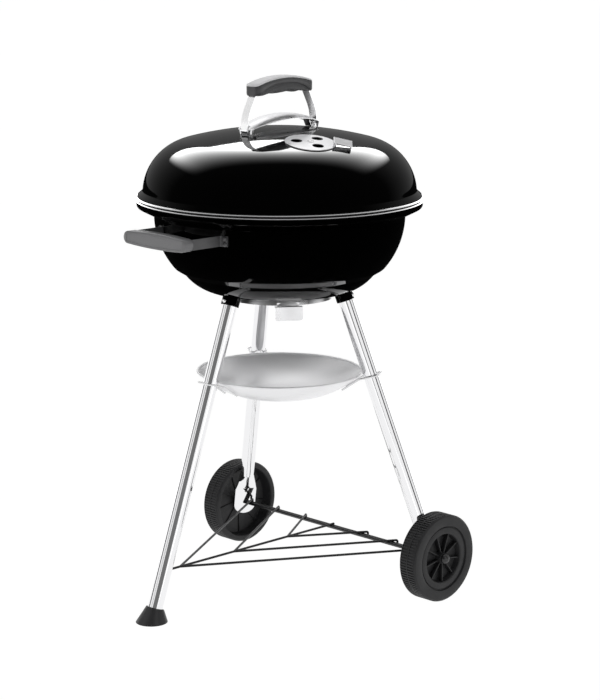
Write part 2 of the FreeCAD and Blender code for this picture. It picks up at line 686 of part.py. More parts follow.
def dome_head(radius, height, base, direction):
    """A shallow domed head on a flat base."""
    big = (radius ** 2 + height ** 2) / (2 * height)
    ball = Part.makeSphere(big, V(0, 0, height - big))
    keep = cylinder(radius, height, V(0, 0, 0), V(0, 0, 1))
    head = ball.common(keep)
    turn = FreeCAD.Rotation(V(0, 0, 1), direction)
    head.Placement = FreeCAD.Placement(base, turn)
    return head


# ---- handle on the bowl ----

def wall_y(x, z):
    """Y of the bowl's front wall at the handle."""
    dz = z - BOWL_TOP_ARC_C[1]
    r = BOWL_TOP_ARC_C[0] + math.sqrt(BOWL_TOP_ARC_R ** 2 - dz ** 2)
    return -math.sqrt(r ** 2 - x ** 2)


def bowl_handle_grip():
    """A lens-fronted grip with rounded edges."""
    half = GRIP_LEN / 2
    front = Part.Wire([arc(V(-half, 0, GRIP_END_H / 2), V(0, 0, GRIP_H / 2), V(half, 0, GRIP_END_H / 2)),
                       line(V(half, 0, GRIP_END_H / 2), V(half, 0, -GRIP_END_H / 2)),
                       arc(V(half, 0, -GRIP_END_H / 2), V(0, 0, -GRIP_H / 2), V(-half, 0, -GRIP_END_H / 2)),
                       line(V(-half, 0, -GRIP_END_H / 2), V(-half, 0, GRIP_END_H / 2))])
    body = Part.Face(front).extrude(V(0, GRIP_DEPTH, 0))
    ends = [e for e in body.Edges if e.Length > GRIP_DEPTH - 0.5 and e.Length < GRIP_DEPTH + 0.5
            and abs(e.Vertexes[0].Y - e.Vertexes[-1].Y) > GRIP_DEPTH / 2]
    body = body.makeFillet(GRIP_CORNER_R, ends)
    body = body.makeFillet(GRIP_EDGE_R, body.Edges)
    for side in (1, -1):
        slot = Part.makeBox(ARM_T + 2 * PRESS_GAP, GRIP_DEPTH, ARM_H + 2 * PRESS_GAP,
                            V(side * handle_arm_x() - ARM_T / 2 - PRESS_GAP, GRIP_DEPTH / 3,
                              -ARM_H / 2 - PRESS_GAP))
        body = body.cut(slot)
    return moved(body, 0, GRIP_FRONT_Y, GRIP_Z)


def handle_arm_x():
    """The arms run just inside the grip's ends."""
    return ARM_X - ARM_T * 1.5


def bowl_handle_arm(side, filled_bowl):
    """A flat steel arm from inside the grip to a foot welded on the bowl."""
    x = handle_arm_x()
    y0 = GRIP_FRONT_Y + GRIP_DEPTH / 3 + PRESS_GAP
    y1 = wall_y(x, GRIP_Z)
    slope = -x / y1
    foot = V(x + ARM_FOOT, y1 + ARM_FOOT * slope, 0)
    edges = rounded_path([V(x, y0, 0), V(x, y1 - 1.0, 0), V(foot.x, foot.y - 1.0, 0)], ARM_BEND)
    path = Part.Wire(edges)
    band = path.makeOffset2D(ARM_T / 2, 0, True, True, False)
    other = path.makeOffset2D(-ARM_T / 2, 0, True, True, False)
    arm = fused([band.extrude(V(0, 0, ARM_H)), other.extrude(V(0, 0, ARM_H))])
    arm = moved(arm, 0, 0, GRIP_Z - ARM_H / 2).cut(filled_bowl)
    if side < 0:
        arm = arm.mirror(V(0, 0, 0), V(1, 0, 0))
    return arm.cut(handle_stud_holes())


def handle_stud_places():
    """Points on the bowl's wall, and outward directions, of the studs through the arms' feet."""
    x = handle_arm_x() + ARM_FOOT * 0.62
    places = []
    for side in (1, -1):
        for dz in (-STUD_PITCH / 2, STUD_PITCH / 2):
            z = GRIP_Z + dz
            at = V(side * x, wall_y(x, z), z)
            out = V(at.x, at.y, 0).normalize()
            places.append((at, out))
    return places


def handle_stud_holes():
    holes = [cylinder(STUD_R + HOLE_GAP, 24, at - out * 12, out) for at, out in handle_stud_places()]
    return Part.makeCompound(holes)


def bowl_handle_nuts():
    """Studs welded to the bowl's wall, each with a domed nut over the arm's foot."""
    solids = []
    seat = ARM_T / 2 + 1.0 + 1.1
    for at, out in handle_stud_places():
        stud = cylinder(STUD_R, seat + 1.0, at + out * 0.3, out)
        nut = dome_head(STUD_NUT_R, 3.0, at + out * seat, out)
        solids.append(fused([stud, nut]))
    return Part.makeCompound(solids)


# ---- lid ----

def lid_arc_geometry():
    """Centres of the dome's two arcs, tangent to each other."""
    top_c = LID_APEX_Z - LID_TOP_ARC_R
    reach = LID_TOP_ARC_R - LID_CORNER_ARC_R
    corner_z = top_c + math.sqrt(reach ** 2 - LID_CORNER_C[0] ** 2)
    split = math.degrees(math.atan2(corner_z - top_c, LID_CORNER_C[0]))
    return top_c, corner_z, split


def dome_z(r):
    top_c = LID_APEX_Z - LID_TOP_ARC_R
    return top_c + math.sqrt(LID_TOP_ARC_R ** 2 - r ** 2)


def lid_shell():
    """The lid: a flat-topped dome, a shoulder and a flared edge over the bowl's upstand."""
    top_c, corner_z, split = lid_arc_geometry()
    flare_top = SEAM_Z + LID_FLARE_H
    rise = flare_top + LID_FLARE_LEAD - corner_z
    wall_angle = math.degrees(math.asin(rise / LID_CORNER_ARC_R))
    wall_r = LID_CORNER_C[0] + LID_CORNER_ARC_R * math.cos(math.radians(wall_angle))
    edges = [arc_about(0, top_c, LID_TOP_ARC_R, 90, split)]
    edges.append(arc_about(LID_CORNER_C[0], corner_z, LID_CORNER_ARC_R, split, wall_angle))
    flare = [V(wall_r, 0, flare_top + LID_FLARE_LEAD), V(wall_r + LID_FLARE_OUT, 0, flare_top),
             V(RIM_R - LID_ROLL_IN, 0, SEAM_Z + LID_ROLL_H), V(RIM_R, 0, SEAM_Z + LID_EDGE_H), V(RIM_R, 0, SEAM_Z)]
    edges += rounded_path(flare, LID_FLARE_BENDS)
    shell = sheet_of_turn(edges, -SHELL_T)
    if shell.BoundBox.ZMax > LID_APEX_Z + 0.1:
        shell = sheet_of_turn(edges, SHELL_T)
    for u in (-1, 1):
        shell = shell.cut(cylinder(BOLT_R + HOLE_GAP, 40, V(0, u * bolt_u(), LID_APEX_Z - 30), V(0, 0, 1)))
    for hole in lid_vent_holes():
        shell = shell.cut(hole)
    shell = shell.cut(to_vent(cylinder(RIVET_R + PRESS_GAP, 20, V(0, 0, -10), V(0, 0, 1))))
    return shell


def to_vent(shape):
    """From the lid damper's own frame (Z out of the dome) to the lid's."""
    lean = math.degrees(math.asin(LID_VENT_RHO / LID_TOP_ARC_R))
    placed = turned(shape, lean, V(0, 1, 0))
    placed.translate(V(LID_VENT_RHO, 0, dome_z(LID_VENT_RHO)))
    return turned(placed, LID_VENT_AZ)


def lid_vent_holes():
    holes = []
    for i in range(LID_HOLES):
        a = math.radians(LID_HOLE_AZ + i * 360.0 / LID_HOLES)
        at = V(LID_HOLE_PITCH_R * math.cos(a), LID_HOLE_PITCH_R * math.sin(a), -10)
        holes.append(to_vent(cylinder(LID_HOLE_R, 20, at, V(0, 0, 1))))
    return holes


def lid_damper():
    """A disc curved to the dome with three holes and a raised tab."""
    inner = LID_TOP_ARC_R + LID_DISC_GAP
    centre = V(0, 0, -LID_TOP_ARC_R)
    shell = Part.makeSphere(inner + LID_DISC_T, centre).cut(Part.makeSphere(inner, centre))
    disc = shell.common(cylinder(LID_DISC_R, 20, V(0, 0, -6), V(0, 0, 1)))
    root = LID_DISC_R - 5.0
    length = LID_TAB_L + 5.0
    plate = Part.makeBox(length, LID_TAB_W, LID_DISC_T, V(root, -LID_TAB_W / 2, 0))
    lip = Part.makeBox(LID_DISC_T, LID_TAB_W, LID_TAB_LIP,
                       V(root + length - LID_DISC_T, -LID_TAB_W / 2, LID_DISC_T - LID_TAB_LIP))
    riser_z = LID_DISC_GAP - 1.2
    riser = Part.makeBox(LID_DISC_T, LID_TAB_W, LID_TAB_RISE - riser_z, V(root, -LID_TAB_W / 2, riser_z))
    plate = moved(fused([plate, lip]), 0, 0, LID_TAB_RISE - LID_DISC_T)
    plate = turned(plate, LID_TAB_LEAN, V(0, 1, 0), V(root, 0, LID_TAB_RISE))
    tab = turned(fused([riser, plate]), LID_TAB_AZ)
    damper = to_vent(fused([disc, tab]))
    for hole in lid_vent_holes():
        damper = damper.cut(hole)
    return damper.cut(to_vent(cylinder(RIVET_R + RUN_GAP, 20, V(0, 0, -10), V(0, 0, 1))))


def lid_damper_rivet():
    top = LID_DISC_GAP + LID_DISC_T + SHEET_GAP
    pin = cylinder(RIVET_R, top + SHELL_T + 2, V(0, 0, -SHELL_T - 1), V(0, 0, 1))
    upper = dome_head(RIVET_HEAD_R - 1.5, 2.0, V(0, 0, top), V(0, 0, 1))
    lower = dome_head(RIVET_HEAD_R - 1.5, 2.0, V(0, 0, -SHELL_T - 0.1), V(0, 0, -1))
    return to_vent(fused([pin, upper, lower]))


# ---- lid handle: u runs along the handle (the lid's Y), v across it (the lid's X) ----

def bolt_u():
    """The bolts go through the arms' feet."""
    return HANDLE_FOOT_U - HANDLE_FOOT_L / 2 - 1.0


def handle_strap(gap):
    """A flat strap: a foot on the dome, then up and in to the grip; gap grows it all round."""
    foot_in = HANDLE_FOOT_U - HANDLE_FOOT_L
    lift = SHIELD_T + 2 * SHEET_GAP + HANDLE_ARM_T / 2
    top = V(0, HANDLE_TOP_U, HANDLE_ARM_TOP_Z)
    mid = V(0, HANDLE_MID_U, HANDLE_MID_Z)
    points = [V(0, foot_in, dome_z(foot_in) + lift), V(0, HANDLE_FOOT_U, dome_z(HANDLE_FOOT_U) + lift),
              mid, top + (top - mid).normalize() * gap]
    path = Part.Wire(rounded_path(points, HANDLE_BENDS))
    half_t = HANDLE_ARM_T / 2 + gap
    wide = V(HANDLE_ARM_W + 2 * gap, 0, 0)
    halves = [path.makeOffset2D(t, 0, True, True, False).extrude(wide) for t in (half_t, -half_t)]
    return moved(fused(halves), -wide.x / 2, 0, 0)


def lid_handle_arm(side):
    """A strap bolted to the dome and pushed into the grip."""
    hole = cylinder(BOLT_R + HOLE_GAP, THROUGH, V(0, bolt_u(), LID_APEX_Z - THROUGH / 2), V(0, 0, 1))
    arm = handle_strap(0.0).cut(hole)
    if side < 0:
        arm = turned(arm, 180)
    return arm


def grip_outline(top_mid, top_end, base_mid, base_end, half):
    """Side view of an arched bar, in the lid's YZ plane."""
    return Part.Wire([arc(V(0, -half, top_end), V(0, 0, top_mid), V(0, half, top_end)),
                      line(V(0, half, top_end), V(0, half, base_end)),
                      line(V(0, half, base_end), V(0, half - HGRIP_END_L, base_end)),
                      arc(V(0, half - HGRIP_END_L, base_end), V(0, 0, base_mid), V(0, HGRIP_END_L - half, base_end)),
                      line(V(0, HGRIP_END_L - half, base_end), V(0, -half, base_end)),
                      line(V(0, -half, base_end), V(0, -half, top_end))])


def lid_handle_grip():
    """The arched dark grip, with a slanting pocket for each arm."""
    cover = HGRIP_COVER_T
    side_view = grip_outline(HGRIP_TOP_Z - cover, HGRIP_END_Z - cover, HGRIP_BELLY_Z, HGRIP_END_BASE_Z, HGRIP_HALF)
    body = Part.Face(side_view).extrude(V(HGRIP_W, 0, 0))
    body = moved(body, -HGRIP_W / 2, 0, 0)
    ends = [e for e in body.Edges if abs(e.Vertexes[0].Z - e.Vertexes[-1].Z) > 8]
    body = body.makeFillet(HGRIP_CORNER_R, ends)
    pocket = handle_strap(PRESS_GAP)
    return body.cut(pocket).cut(turned(pocket, 180))


def lid_handle_pad():
    """The ribbed finger pad under the grip."""
    z = HGRIP_BELLY_Z
    sag = z - HGRIP_END_BASE_Z
    chord = HGRIP_HALF - HGRIP_END_L
    big = (chord ** 2 + sag ** 2) / (2 * sag)
    def belly(y):
        return z - big + math.sqrt(big ** 2 - y ** 2) - PRESS_GAP
    half = PAD_HALF
    side_view = Part.Wire([arc(V(0, -half, belly(half)), V(0, 0, belly(0)), V(0, half, belly(half))),
                           arc(V(0, half, belly(half)), V(0, 0, belly(0) - PAD_DEPTH), V(0, -half, belly(half)))])
    body = moved(Part.Face(side_view).extrude(V(PAD_W, 0, 0)), -PAD_W / 2, 0, 0)
    pitch = half * 1.5 / PAD_RIBS
    cuts = []
    for i in range(PAD_RIBS):
        y = (i - (PAD_RIBS - 1) / 2) * pitch
        cuts.append(Part.makeBox(PAD_W + 2, pitch * 0.4, 1.4, V(-PAD_W / 2 - 1, y - pitch * 0.2,
                                                              belly(0) - PAD_DEPTH * (1 - (y / half) ** 2) - 0.4
                                                              - (belly(0) - belly(y)))))
    return body.cut(Part.makeCompound(cuts))


def lid_handle_cover():
    """The pale strip that caps the grip."""
    half = HGRIP_HALF
    t = HGRIP_COVER_T - PRESS_GAP
    side_view = Part.Wire([arc(V(0, -half, HGRIP_END_Z), V(0, 0, HGRIP_TOP_Z), V(0, half, HGRIP_END_Z)),
                           line(V(0, half, HGRIP_END_Z), V(0, half, HGRIP_END_Z - t)),
                           arc(V(0, half, HGRIP_END_Z - t), V(0, 0, HGRIP_TOP_Z - t), V(0, -half, HGRIP_END_Z - t)),
                           line(V(0, -half, HGRIP_END_Z - t), V(0, -half, HGRIP_END_Z))])
    body = Part.Face(side_view).extrude(V(HGRIP_W, 0, 0))
    body = moved(body, -HGRIP_W / 2, 0, 0)
    ends = [e for e in body.Edges if abs(e.Vertexes[0].X - e.Vertexes[-1].X) < 0.01
            and abs(abs(e.Vertexes[0].Y) - half) < 0.01 and abs(e.Vertexes[0].Z - e.Vertexes[-1].Z) > 1]
    return body.makeFillet(HGRIP_CORNER_R, ends)


def arch_radius(half, rise):
    return (half ** 2 + rise ** 2) / (2 * rise)


def shield_z(u, v):
    """Height of the shield's underside along and across the handle."""
    along = arch_radius(SHIELD_HALF, SHIELD_MID_Z - SHIELD_END_Z)
    across = arch_radius(SHIELD_HALF_W, SHIELD_CROWN)
    drop = across - math.sqrt(across ** 2 - v ** 2)
    return SHIELD_MID_Z - along + math.sqrt((along - drop) ** 2 - u ** 2)


def heat_shield():
    """A crowned leaf of aluminium between the arms, with four short legs and two bolted tongues."""
    half = SHIELD_HALF
    along = arch_radius(half, SHIELD_MID_Z - SHIELD_END_Z)
    across = arch_radius(SHIELD_HALF_W, SHIELD_CROWN)
    swing = math.degrees(math.asin(half / along)) + 2.0
    spread = math.degrees(math.asin(SHIELD_HALF_W / across)) + 3.0
    under = arc_about(0, SHIELD_MID_Z - across, across, 90 + spread, 90 - spread)
    band = Part.Wire([under]).makeOffset2D(SHIELD_T, 0, True, True, False)
    if band.BoundBox.ZMax < SHIELD_MID_Z + SHIELD_T / 2:
        band = Part.Wire([under]).makeOffset2D(-SHIELD_T, 0, True, True, False)
    pivot = V(0, 0, SHIELD_MID_Z - along)
    sheet = turned(band, -swing, V(1, 0, 0), pivot).revolve(pivot, V(1, 0, 0), 2 * swing)
    w = SHIELD_HALF_W
    e = SHIELD_END_W
    y = half - e * 0.7
    low = LID_APEX_Z - 40
    leaf = Part.Wire([arc(V(e, -y, low), V(w, 0, low), V(e, y, low)), arc(V(e, y, low), V(0, half, low), V(-e, y, low)),
                      arc(V(-e, y, low), V(-w, 0, low), V(-e, -y, low)),
                      arc(V(-e, -y, low), V(0, -half, low), V(e, -y, low))])
    shield = sheet.common(Part.Face(leaf).extrude(V(0, 0, 100)))
    pieces = [shield]
    leg_u = HANDLE_FOOT_U - 4.0
    for side_u in (1, -1):
        for side_v in (1, -1):
            v = side_v * (HANDLE_ARM_W / 2 + SHIELD_LEG_W / 2 + 0.2)
            tip = dome_z(leg_u) + SHEET_GAP
            u = side_u * leg_u
            shoulders = [V(x, u, shield_z(leg_u, x) + SHIELD_T / 2)
                         for x in (v - SHIELD_LEG_W / 2, v + SHIELD_LEG_W / 2)]
            outline = shoulders + [V(v + 1.0, u, tip), V(v - 1.0, u, tip)]
            leg = Part.Face(Part.makePolygon(outline + [outline[0]])).extrude(V(0, -side_u * SHIELD_T, 0))
            pieces.append(leg)
        tongue_in = HANDLE_FOOT_U - HANDLE_FOOT_L - 2.0
        tongue_up = tongue_in - 9.0
        flat = [V(0, tongue_up, shield_z(tongue_up, SHIELD_TONGUE_W / 2) + SHIELD_T / 3), V(0, tongue_in, dome_z(tongue_in) + SHEET_GAP),
                V(0, HANDLE_FOOT_U - 2.0, dome_z(HANDLE_FOOT_U - 2.0) + SHEET_GAP)]
        band = Part.Wire(rounded_path(flat, 2.0)).makeOffset2D(-SHIELD_T, 0, True, True, False)
        tongue = moved(band.extrude(V(SHIELD_TONGUE_W, 0, 0)), -SHIELD_TONGUE_W / 2, 0, 0)
        pieces.append(tongue if side_u > 0 else turned(tongue, 180))
    shield = fused(pieces)
    for u in (-1, 1):
        notch = Part.makeBox(HANDLE_ARM_W + 0.8, 14, 40)
        notch = moved(notch, -HANDLE_ARM_W / 2 - 0.4, HANDLE_FOOT_U - 7.0, dome_z(HANDLE_FOOT_U) + 6.0)
        shield = shield.cut(notch if u > 0 else turned(notch, 180))
        shield = shield.cut(cylinder(BOLT_R + HOLE_GAP, 40, V(0, u * bolt_u(), LID_APEX_Z - 28), V(0, 0, 1)))
    return shield


def lid_handle_bolts():
    """Two bolts through the arms' feet, the shield and the dome, with nuts inside."""
    solids = []
    for u in (-1, 1):
        y = u * bolt_u()
        z = dome_z(bolt_u())
        head_z = z + SHIELD_T + 2 * SHEET_GAP + HANDLE_ARM_T + 1.0
        shank = cylinder(BOLT_R, head_z - z + 12, V(0, y, z - 11), V(0, 0, 1))
        head = dome_head(BOLT_HEAD_R, 3.0, V(0, y, head_z), V(0, 0, 1))
        solids.append(fused([shank, head]))
    return Part.makeCompound(solids)


def lid_handle_nuts():
    solids = []
    for u in (-1, 1):
        y = u * bolt_u()
        z = dome_z(bolt_u()) - SHELL_T - 1.6
        hexagon = [V(BOLT_HEAD_R * math.cos(math.radians(60 * i)), y + BOLT_HEAD_R * math.sin(math.radians(60 * i)),
                     z - 5.0) for i in range(6)]
        nut = Part.Face(Part.makePolygon(hexagon + [hexagon[0]])).extrude(V(0, 0, 5.0))
        solids.append(nut.cut(cylinder(BOLT_R + PRESS_GAP, 10, V(0, y, z - 8), V(0, 0, 1))))
    return Part.makeCompound(solids)


# ---- grates ----

def grate(ring_r, ring_d, z, rod_d, pitch, cross_x, cross_d):
    """A wire ring with parallel rods on it and cross rods under them."""
    ring = torus(ring_r, ring_d / 2, z)
    rod_z = z + ring_d / 2 + rod_d / 2 - 0.8
    cross_z = rod_z - rod_d / 2 - cross_d / 2 + 0.5
    wires = [ring]
    count = int((ring_r - pitch * 0.4) / pitch)
    for i in range(-count, count + 1):
        x = i * pitch
        half = math.sqrt(ring_r ** 2 - x ** 2) + ring_d * 0.1
        wires.append(cylinder(rod_d / 2, half * 2, V(x, -half, rod_z), V(0, 1, 0)))
    for y in (-cross_x, cross_x):
        half = math.sqrt(ring_r ** 2 - y ** 2) - ring_d * 0.1
        wires.append(cylinder(cross_d / 2, half * 2, V(-half, y, cross_z), V(1, 0, 0)))
    return wires, rod_z


def cooking_grate():
    ring_r = LEDGE_R + COOK_RING_OUT
    slope = math.atan2(SEAM_Z - BOWL_BAND_H - LEDGE_Z, RIM_R - LEDGE_R)
    contact_z = LEDGE_Z + (ring_r - LEDGE_R) * math.tan(slope)
    z = contact_z + (COOK_RING_D / 2 + SHELL_T + SHEET_GAP) / math.cos(slope)
    wires, rod_z = grate(ring_r, COOK_RING_D, z, COOK_ROD_D, COOK_ROD_PITCH, COOK_CROSS_X, COOK_CROSS_D)
    handles = []
    for side in (1, -1):
        y = side * (COOK_CROSS_X + COOK_HANDLE_OUT)
        low = rod_z + COOK_ROD_D / 2 + COOK_CROSS_D / 2
        top = low + COOK_HANDLE_H
        half = COOK_HANDLE_W / 2
        loop = [V(-half - 12, y, low), V(-half, y, low), V(-half + 4, y + side * 6, top),
                V(half - 4, y + side * 6, top), V(half, y, low), V(half + 12, y, low)]
        handles.append(wire_rod(loop, [6.0, 9.0, 9.0, 6.0], COOK_CROSS_D / 2))
    return fused(wires), handles


def charcoal_grate():
    ring_r = STEP_R - COAL_SIDE_GAP - COAL_RING_D / 2
    slope = step_drop() / STEP_IN
    lift = (COAL_RING_D / 2 + SHELL_T + SHEET_GAP) * math.sqrt(1 + slope ** 2)
    z = STEP_Z - (STEP_R - ring_r) * slope + lift
    wires, rod_z = grate(ring_r, COAL_RING_D, z, COAL_ROD_D, COAL_ROD_PITCH, COAL_CROSS_X, COAL_RING_D)
    return fused(wires)


def step_drop():
    """How far the step falls towards the middle of the bowl."""
    dr = STEP_R - STEP_IN - BOWL_LOW_ARC_C[0]
    inner_z = BOWL_LOW_ARC_C[1] - math.sqrt(BOWL_LOW_ARC_R ** 2 - dr ** 2)
    return STEP_Z - inner_z


def lid_frame(shape):
    return turned(shape, LID_TURN)


def main():
    os.makedirs("parts", exist_ok=True)
    filled = bowl_mass()
    save("bowl", bowl_shell())
    for name, azimuth in LEG_AZ.items():
        save("leg_socket_" + name, leg_socket(azimuth, filled))
        save("ash_clip_" + name, ash_clip(azimuth))
    save("leg_screws", leg_screws())
    save("bowl_handle_nuts", bowl_handle_nuts())
    save("leg_front", front_leg())
    save("leg_right", wheel_leg(LEG_AZ["right"]))
    save("leg_left", wheel_leg(LEG_AZ["left"]))
    save("foot_cap", foot_cap())
    for name, side in (("right", 1), ("left", -1)):
        save("wheel_" + name, wheel(side))
        save("hub_cap_" + name, hub_cap(side))
        save("bowl_handle_arm_" + name, bowl_handle_arm(side, filled))
    save("axle", axle())
    save("bottom_rack", bottom_rack())
    save("ash_catcher", ash_catcher())
    save("bowl_damper", bowl_damper())
    save("bowl_damper_rivet", bowl_damper_rivet())
    save("bowl_handle_grip", bowl_handle_grip())
    save("charcoal_grate", charcoal_grate())
    grill, handles = cooking_grate()
    save("cooking_grate", grill)
    save("cooking_grate_handle_rear", handles[0])
    save("cooking_grate_handle_front", handles[1])
    save("lid", lid_frame(lid_shell()))
    save("lid_damper", lid_frame(lid_damper()))
    save("lid_damper_rivet", lid_frame(lid_damper_rivet()))
    save("lid_handle_arm_front", lid_frame(lid_handle_arm(-1)))
    save("lid_handle_arm_rear", lid_frame(lid_handle_arm(1)))
    save("lid_handle_grip", lid_frame(lid_handle_grip()))
    save("lid_handle_cover", lid_frame(lid_handle_cover()))
    save("lid_handle_pad", lid_frame(lid_handle_pad()))
    save("lid_heat_shield", lid_frame(heat_shield()))
    save("lid_handle_bolts", lid_frame(lid_handle_bolts()))
    save("lid_handle_nuts", lid_frame(lid_handle_nuts()))


main()
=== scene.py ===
import bpy
import bmesh
import math
from mathutils import Matrix, Vector


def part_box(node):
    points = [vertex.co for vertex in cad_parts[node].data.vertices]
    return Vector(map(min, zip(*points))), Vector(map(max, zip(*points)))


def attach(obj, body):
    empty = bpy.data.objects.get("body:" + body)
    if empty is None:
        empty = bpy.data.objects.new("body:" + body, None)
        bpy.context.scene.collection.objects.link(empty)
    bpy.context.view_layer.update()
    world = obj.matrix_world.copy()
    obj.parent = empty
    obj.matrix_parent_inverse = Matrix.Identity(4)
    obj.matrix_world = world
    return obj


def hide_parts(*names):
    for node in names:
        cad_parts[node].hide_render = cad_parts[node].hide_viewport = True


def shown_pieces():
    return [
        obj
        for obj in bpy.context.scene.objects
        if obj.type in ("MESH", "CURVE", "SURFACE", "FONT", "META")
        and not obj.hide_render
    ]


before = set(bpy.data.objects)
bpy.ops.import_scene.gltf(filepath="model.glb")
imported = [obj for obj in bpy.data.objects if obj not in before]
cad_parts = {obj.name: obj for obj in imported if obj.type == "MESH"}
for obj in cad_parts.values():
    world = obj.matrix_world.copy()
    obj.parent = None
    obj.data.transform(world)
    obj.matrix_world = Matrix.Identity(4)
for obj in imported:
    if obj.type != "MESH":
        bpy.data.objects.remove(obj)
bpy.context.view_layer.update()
print("frame loaded:", len(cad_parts), "CAD nodes")

# the kettle's own axis stands at this place in plan; the lid sits slightly turned on the bowl
kettle = {"axisY": 0.03975, "rimRadius": 0.2415, "lidTurn": 5.6}
shellSteps = 240


# shader groups shared by the finishes
def newGroup(name, inputs, outputs):
    group = bpy.data.node_groups.new(name, "ShaderNodeTree")
    for label, kind, value in inputs:
        socket = group.interface.new_socket(label, in_out="INPUT", socket_type=kind)
        socket.default_value = value
    for label, kind in outputs:
        group.interface.new_socket(label, in_out="OUTPUT", socket_type=kind)
    return group, group.nodes.new("NodeGroupInput"), group.nodes.new("NodeGroupOutput")


def buildMottleGroup():
    inputs = [("Scale", "NodeSocketFloat", 20.0), ("Low", "NodeSocketFloat", 0.2), ("High", "NodeSocketFloat", 0.3)]
    group, taken, given = newGroup("softMottle", inputs, [("Value", "NodeSocketFloat")])
    coord = group.nodes.new("ShaderNodeTexCoord")
    noise = group.nodes.new("ShaderNodeTexNoise")
    noise.inputs["Detail"].default_value = 4.0
    spread = group.nodes.new("ShaderNodeMapRange")
    spread.inputs["From Min"].default_value = 0.32
    spread.inputs["From Max"].default_value = 0.68
    group.links.new(coord.outputs["Object"], noise.inputs["Vector"])
    group.links.new(taken.outputs["Scale"], noise.inputs["Scale"])
    group.links.new(noise.outputs["Fac"], spread.inputs["Value"])
    group.links.new(taken.outputs["Low"], spread.inputs["To Min"])
    group.links.new(taken.outputs["High"], spread.inputs["To Max"])
    group.links.new(spread.outputs["Result"], given.inputs["Value"])
    return group


def buildDriftGroup():
    inputs = [("Base", "NodeSocketColor", (0.5, 0.5, 0.5, 1)), ("Other", "NodeSocketColor", (0.6, 0.6, 0.6, 1)),
              ("Scale", "NodeSocketFloat", 8.0)]
    group, taken, given = newGroup("colourDrift", inputs, [("Color", "NodeSocketColor")])
    coord = group.nodes.new("ShaderNodeTexCoord")
    noise = group.nodes.new("ShaderNodeTexNoise")
    noise.inputs["Detail"].default_value = 6.0
    noise.inputs["Roughness"].default_value = 0.62
    blend = group.nodes.new("ShaderNodeMix")
    blend.data_type = "RGBA"
    group.links.new(coord.outputs["Object"], noise.inputs["Vector"])
    group.links.new(taken.outputs["Scale"], noise.inputs["Scale"])
    group.links.new(noise.outputs["Fac"], blend.inputs["Factor"])
    group.links.new(taken.outputs["Base"], blend.inputs["A"])
    group.links.new(taken.outputs["Other"], blend.inputs["B"])
    group.links.new(blend.outputs["Result"], given.inputs["Color"])
    return group


def buildGrainGroup():
    group, taken, given = newGroup("fineGrain", [("Scale", "NodeSocketFloat", 600.0),
                                                 ("Stretch", "NodeSocketVector", (1, 1, 1))],
                                   [("Height", "NodeSocketFloat")])
    coord = group.nodes.new("ShaderNodeTexCoord")
    stretch = group.nodes.new("ShaderNodeVectorMath")
    stretch.operation = "MULTIPLY"
    noise = group.nodes.new("ShaderNodeTexNoise")
    noise.inputs["Detail"].default_value = 3.0
    group.links.new(coord.outputs["Object"], stretch.inputs[0])
    group.links.new(taken.outputs["Stretch"], stretch.inputs[1])
    group.links.new(stretch.outputs["Vector"], noise.inputs["Vector"])
    group.links.new(taken.outputs["Scale"], noise.inputs["Scale"])
    group.links.new(noise.outputs["Fac"], given.inputs["Height"])
    return group


def buildSpunGroup():
    group, taken, given = newGroup("spunLines", [("Scale", "NodeSocketFloat", 300.0),
                                                 ("Centre", "NodeSocketVector", (0, 0, 0))],
                                   [("Height", "NodeSocketFloat")])
    coord = group.nodes.new("ShaderNodeTexCoord")
    shift = group.nodes.new("ShaderNodeVectorMath")
    shift.operation = "SUBTRACT"
    flat = group.nodes.new("ShaderNodeVectorMath")
    flat.operation = "MULTIPLY"
    flat.inputs[1].default_value = (1, 1, 0)
    reach = group.nodes.new("ShaderNodeVectorMath")
    reach.operation = "LENGTH"
    lines = group.nodes.new("ShaderNodeTexNoise")
    lines.noise_dimensions = "1D"
    lines.inputs["Detail"].default_value = 3.0
    group.links.new(coord.outputs["Object"], shift.inputs[0])
    group.links.new(taken.outputs["Centre"], shift.inputs[1])
    group.links.new(shift.outputs["Vector"], flat.inputs[0])
    group.links.new(flat.outputs["Vector"], reach.inputs[0])
    group.links.new(reach.outputs["Value"], lines.inputs["W"])
    group.links.new(taken.outputs["Scale"], lines.inputs["Scale"])
    group.links.new(lines.outputs["Fac"], given.inputs["Height"])
    return group


groups = {"mottle": buildMottleGroup(), "drift": buildDriftGroup(), "grain": buildGrainGroup(),
          "spun": buildSpunGroup()}

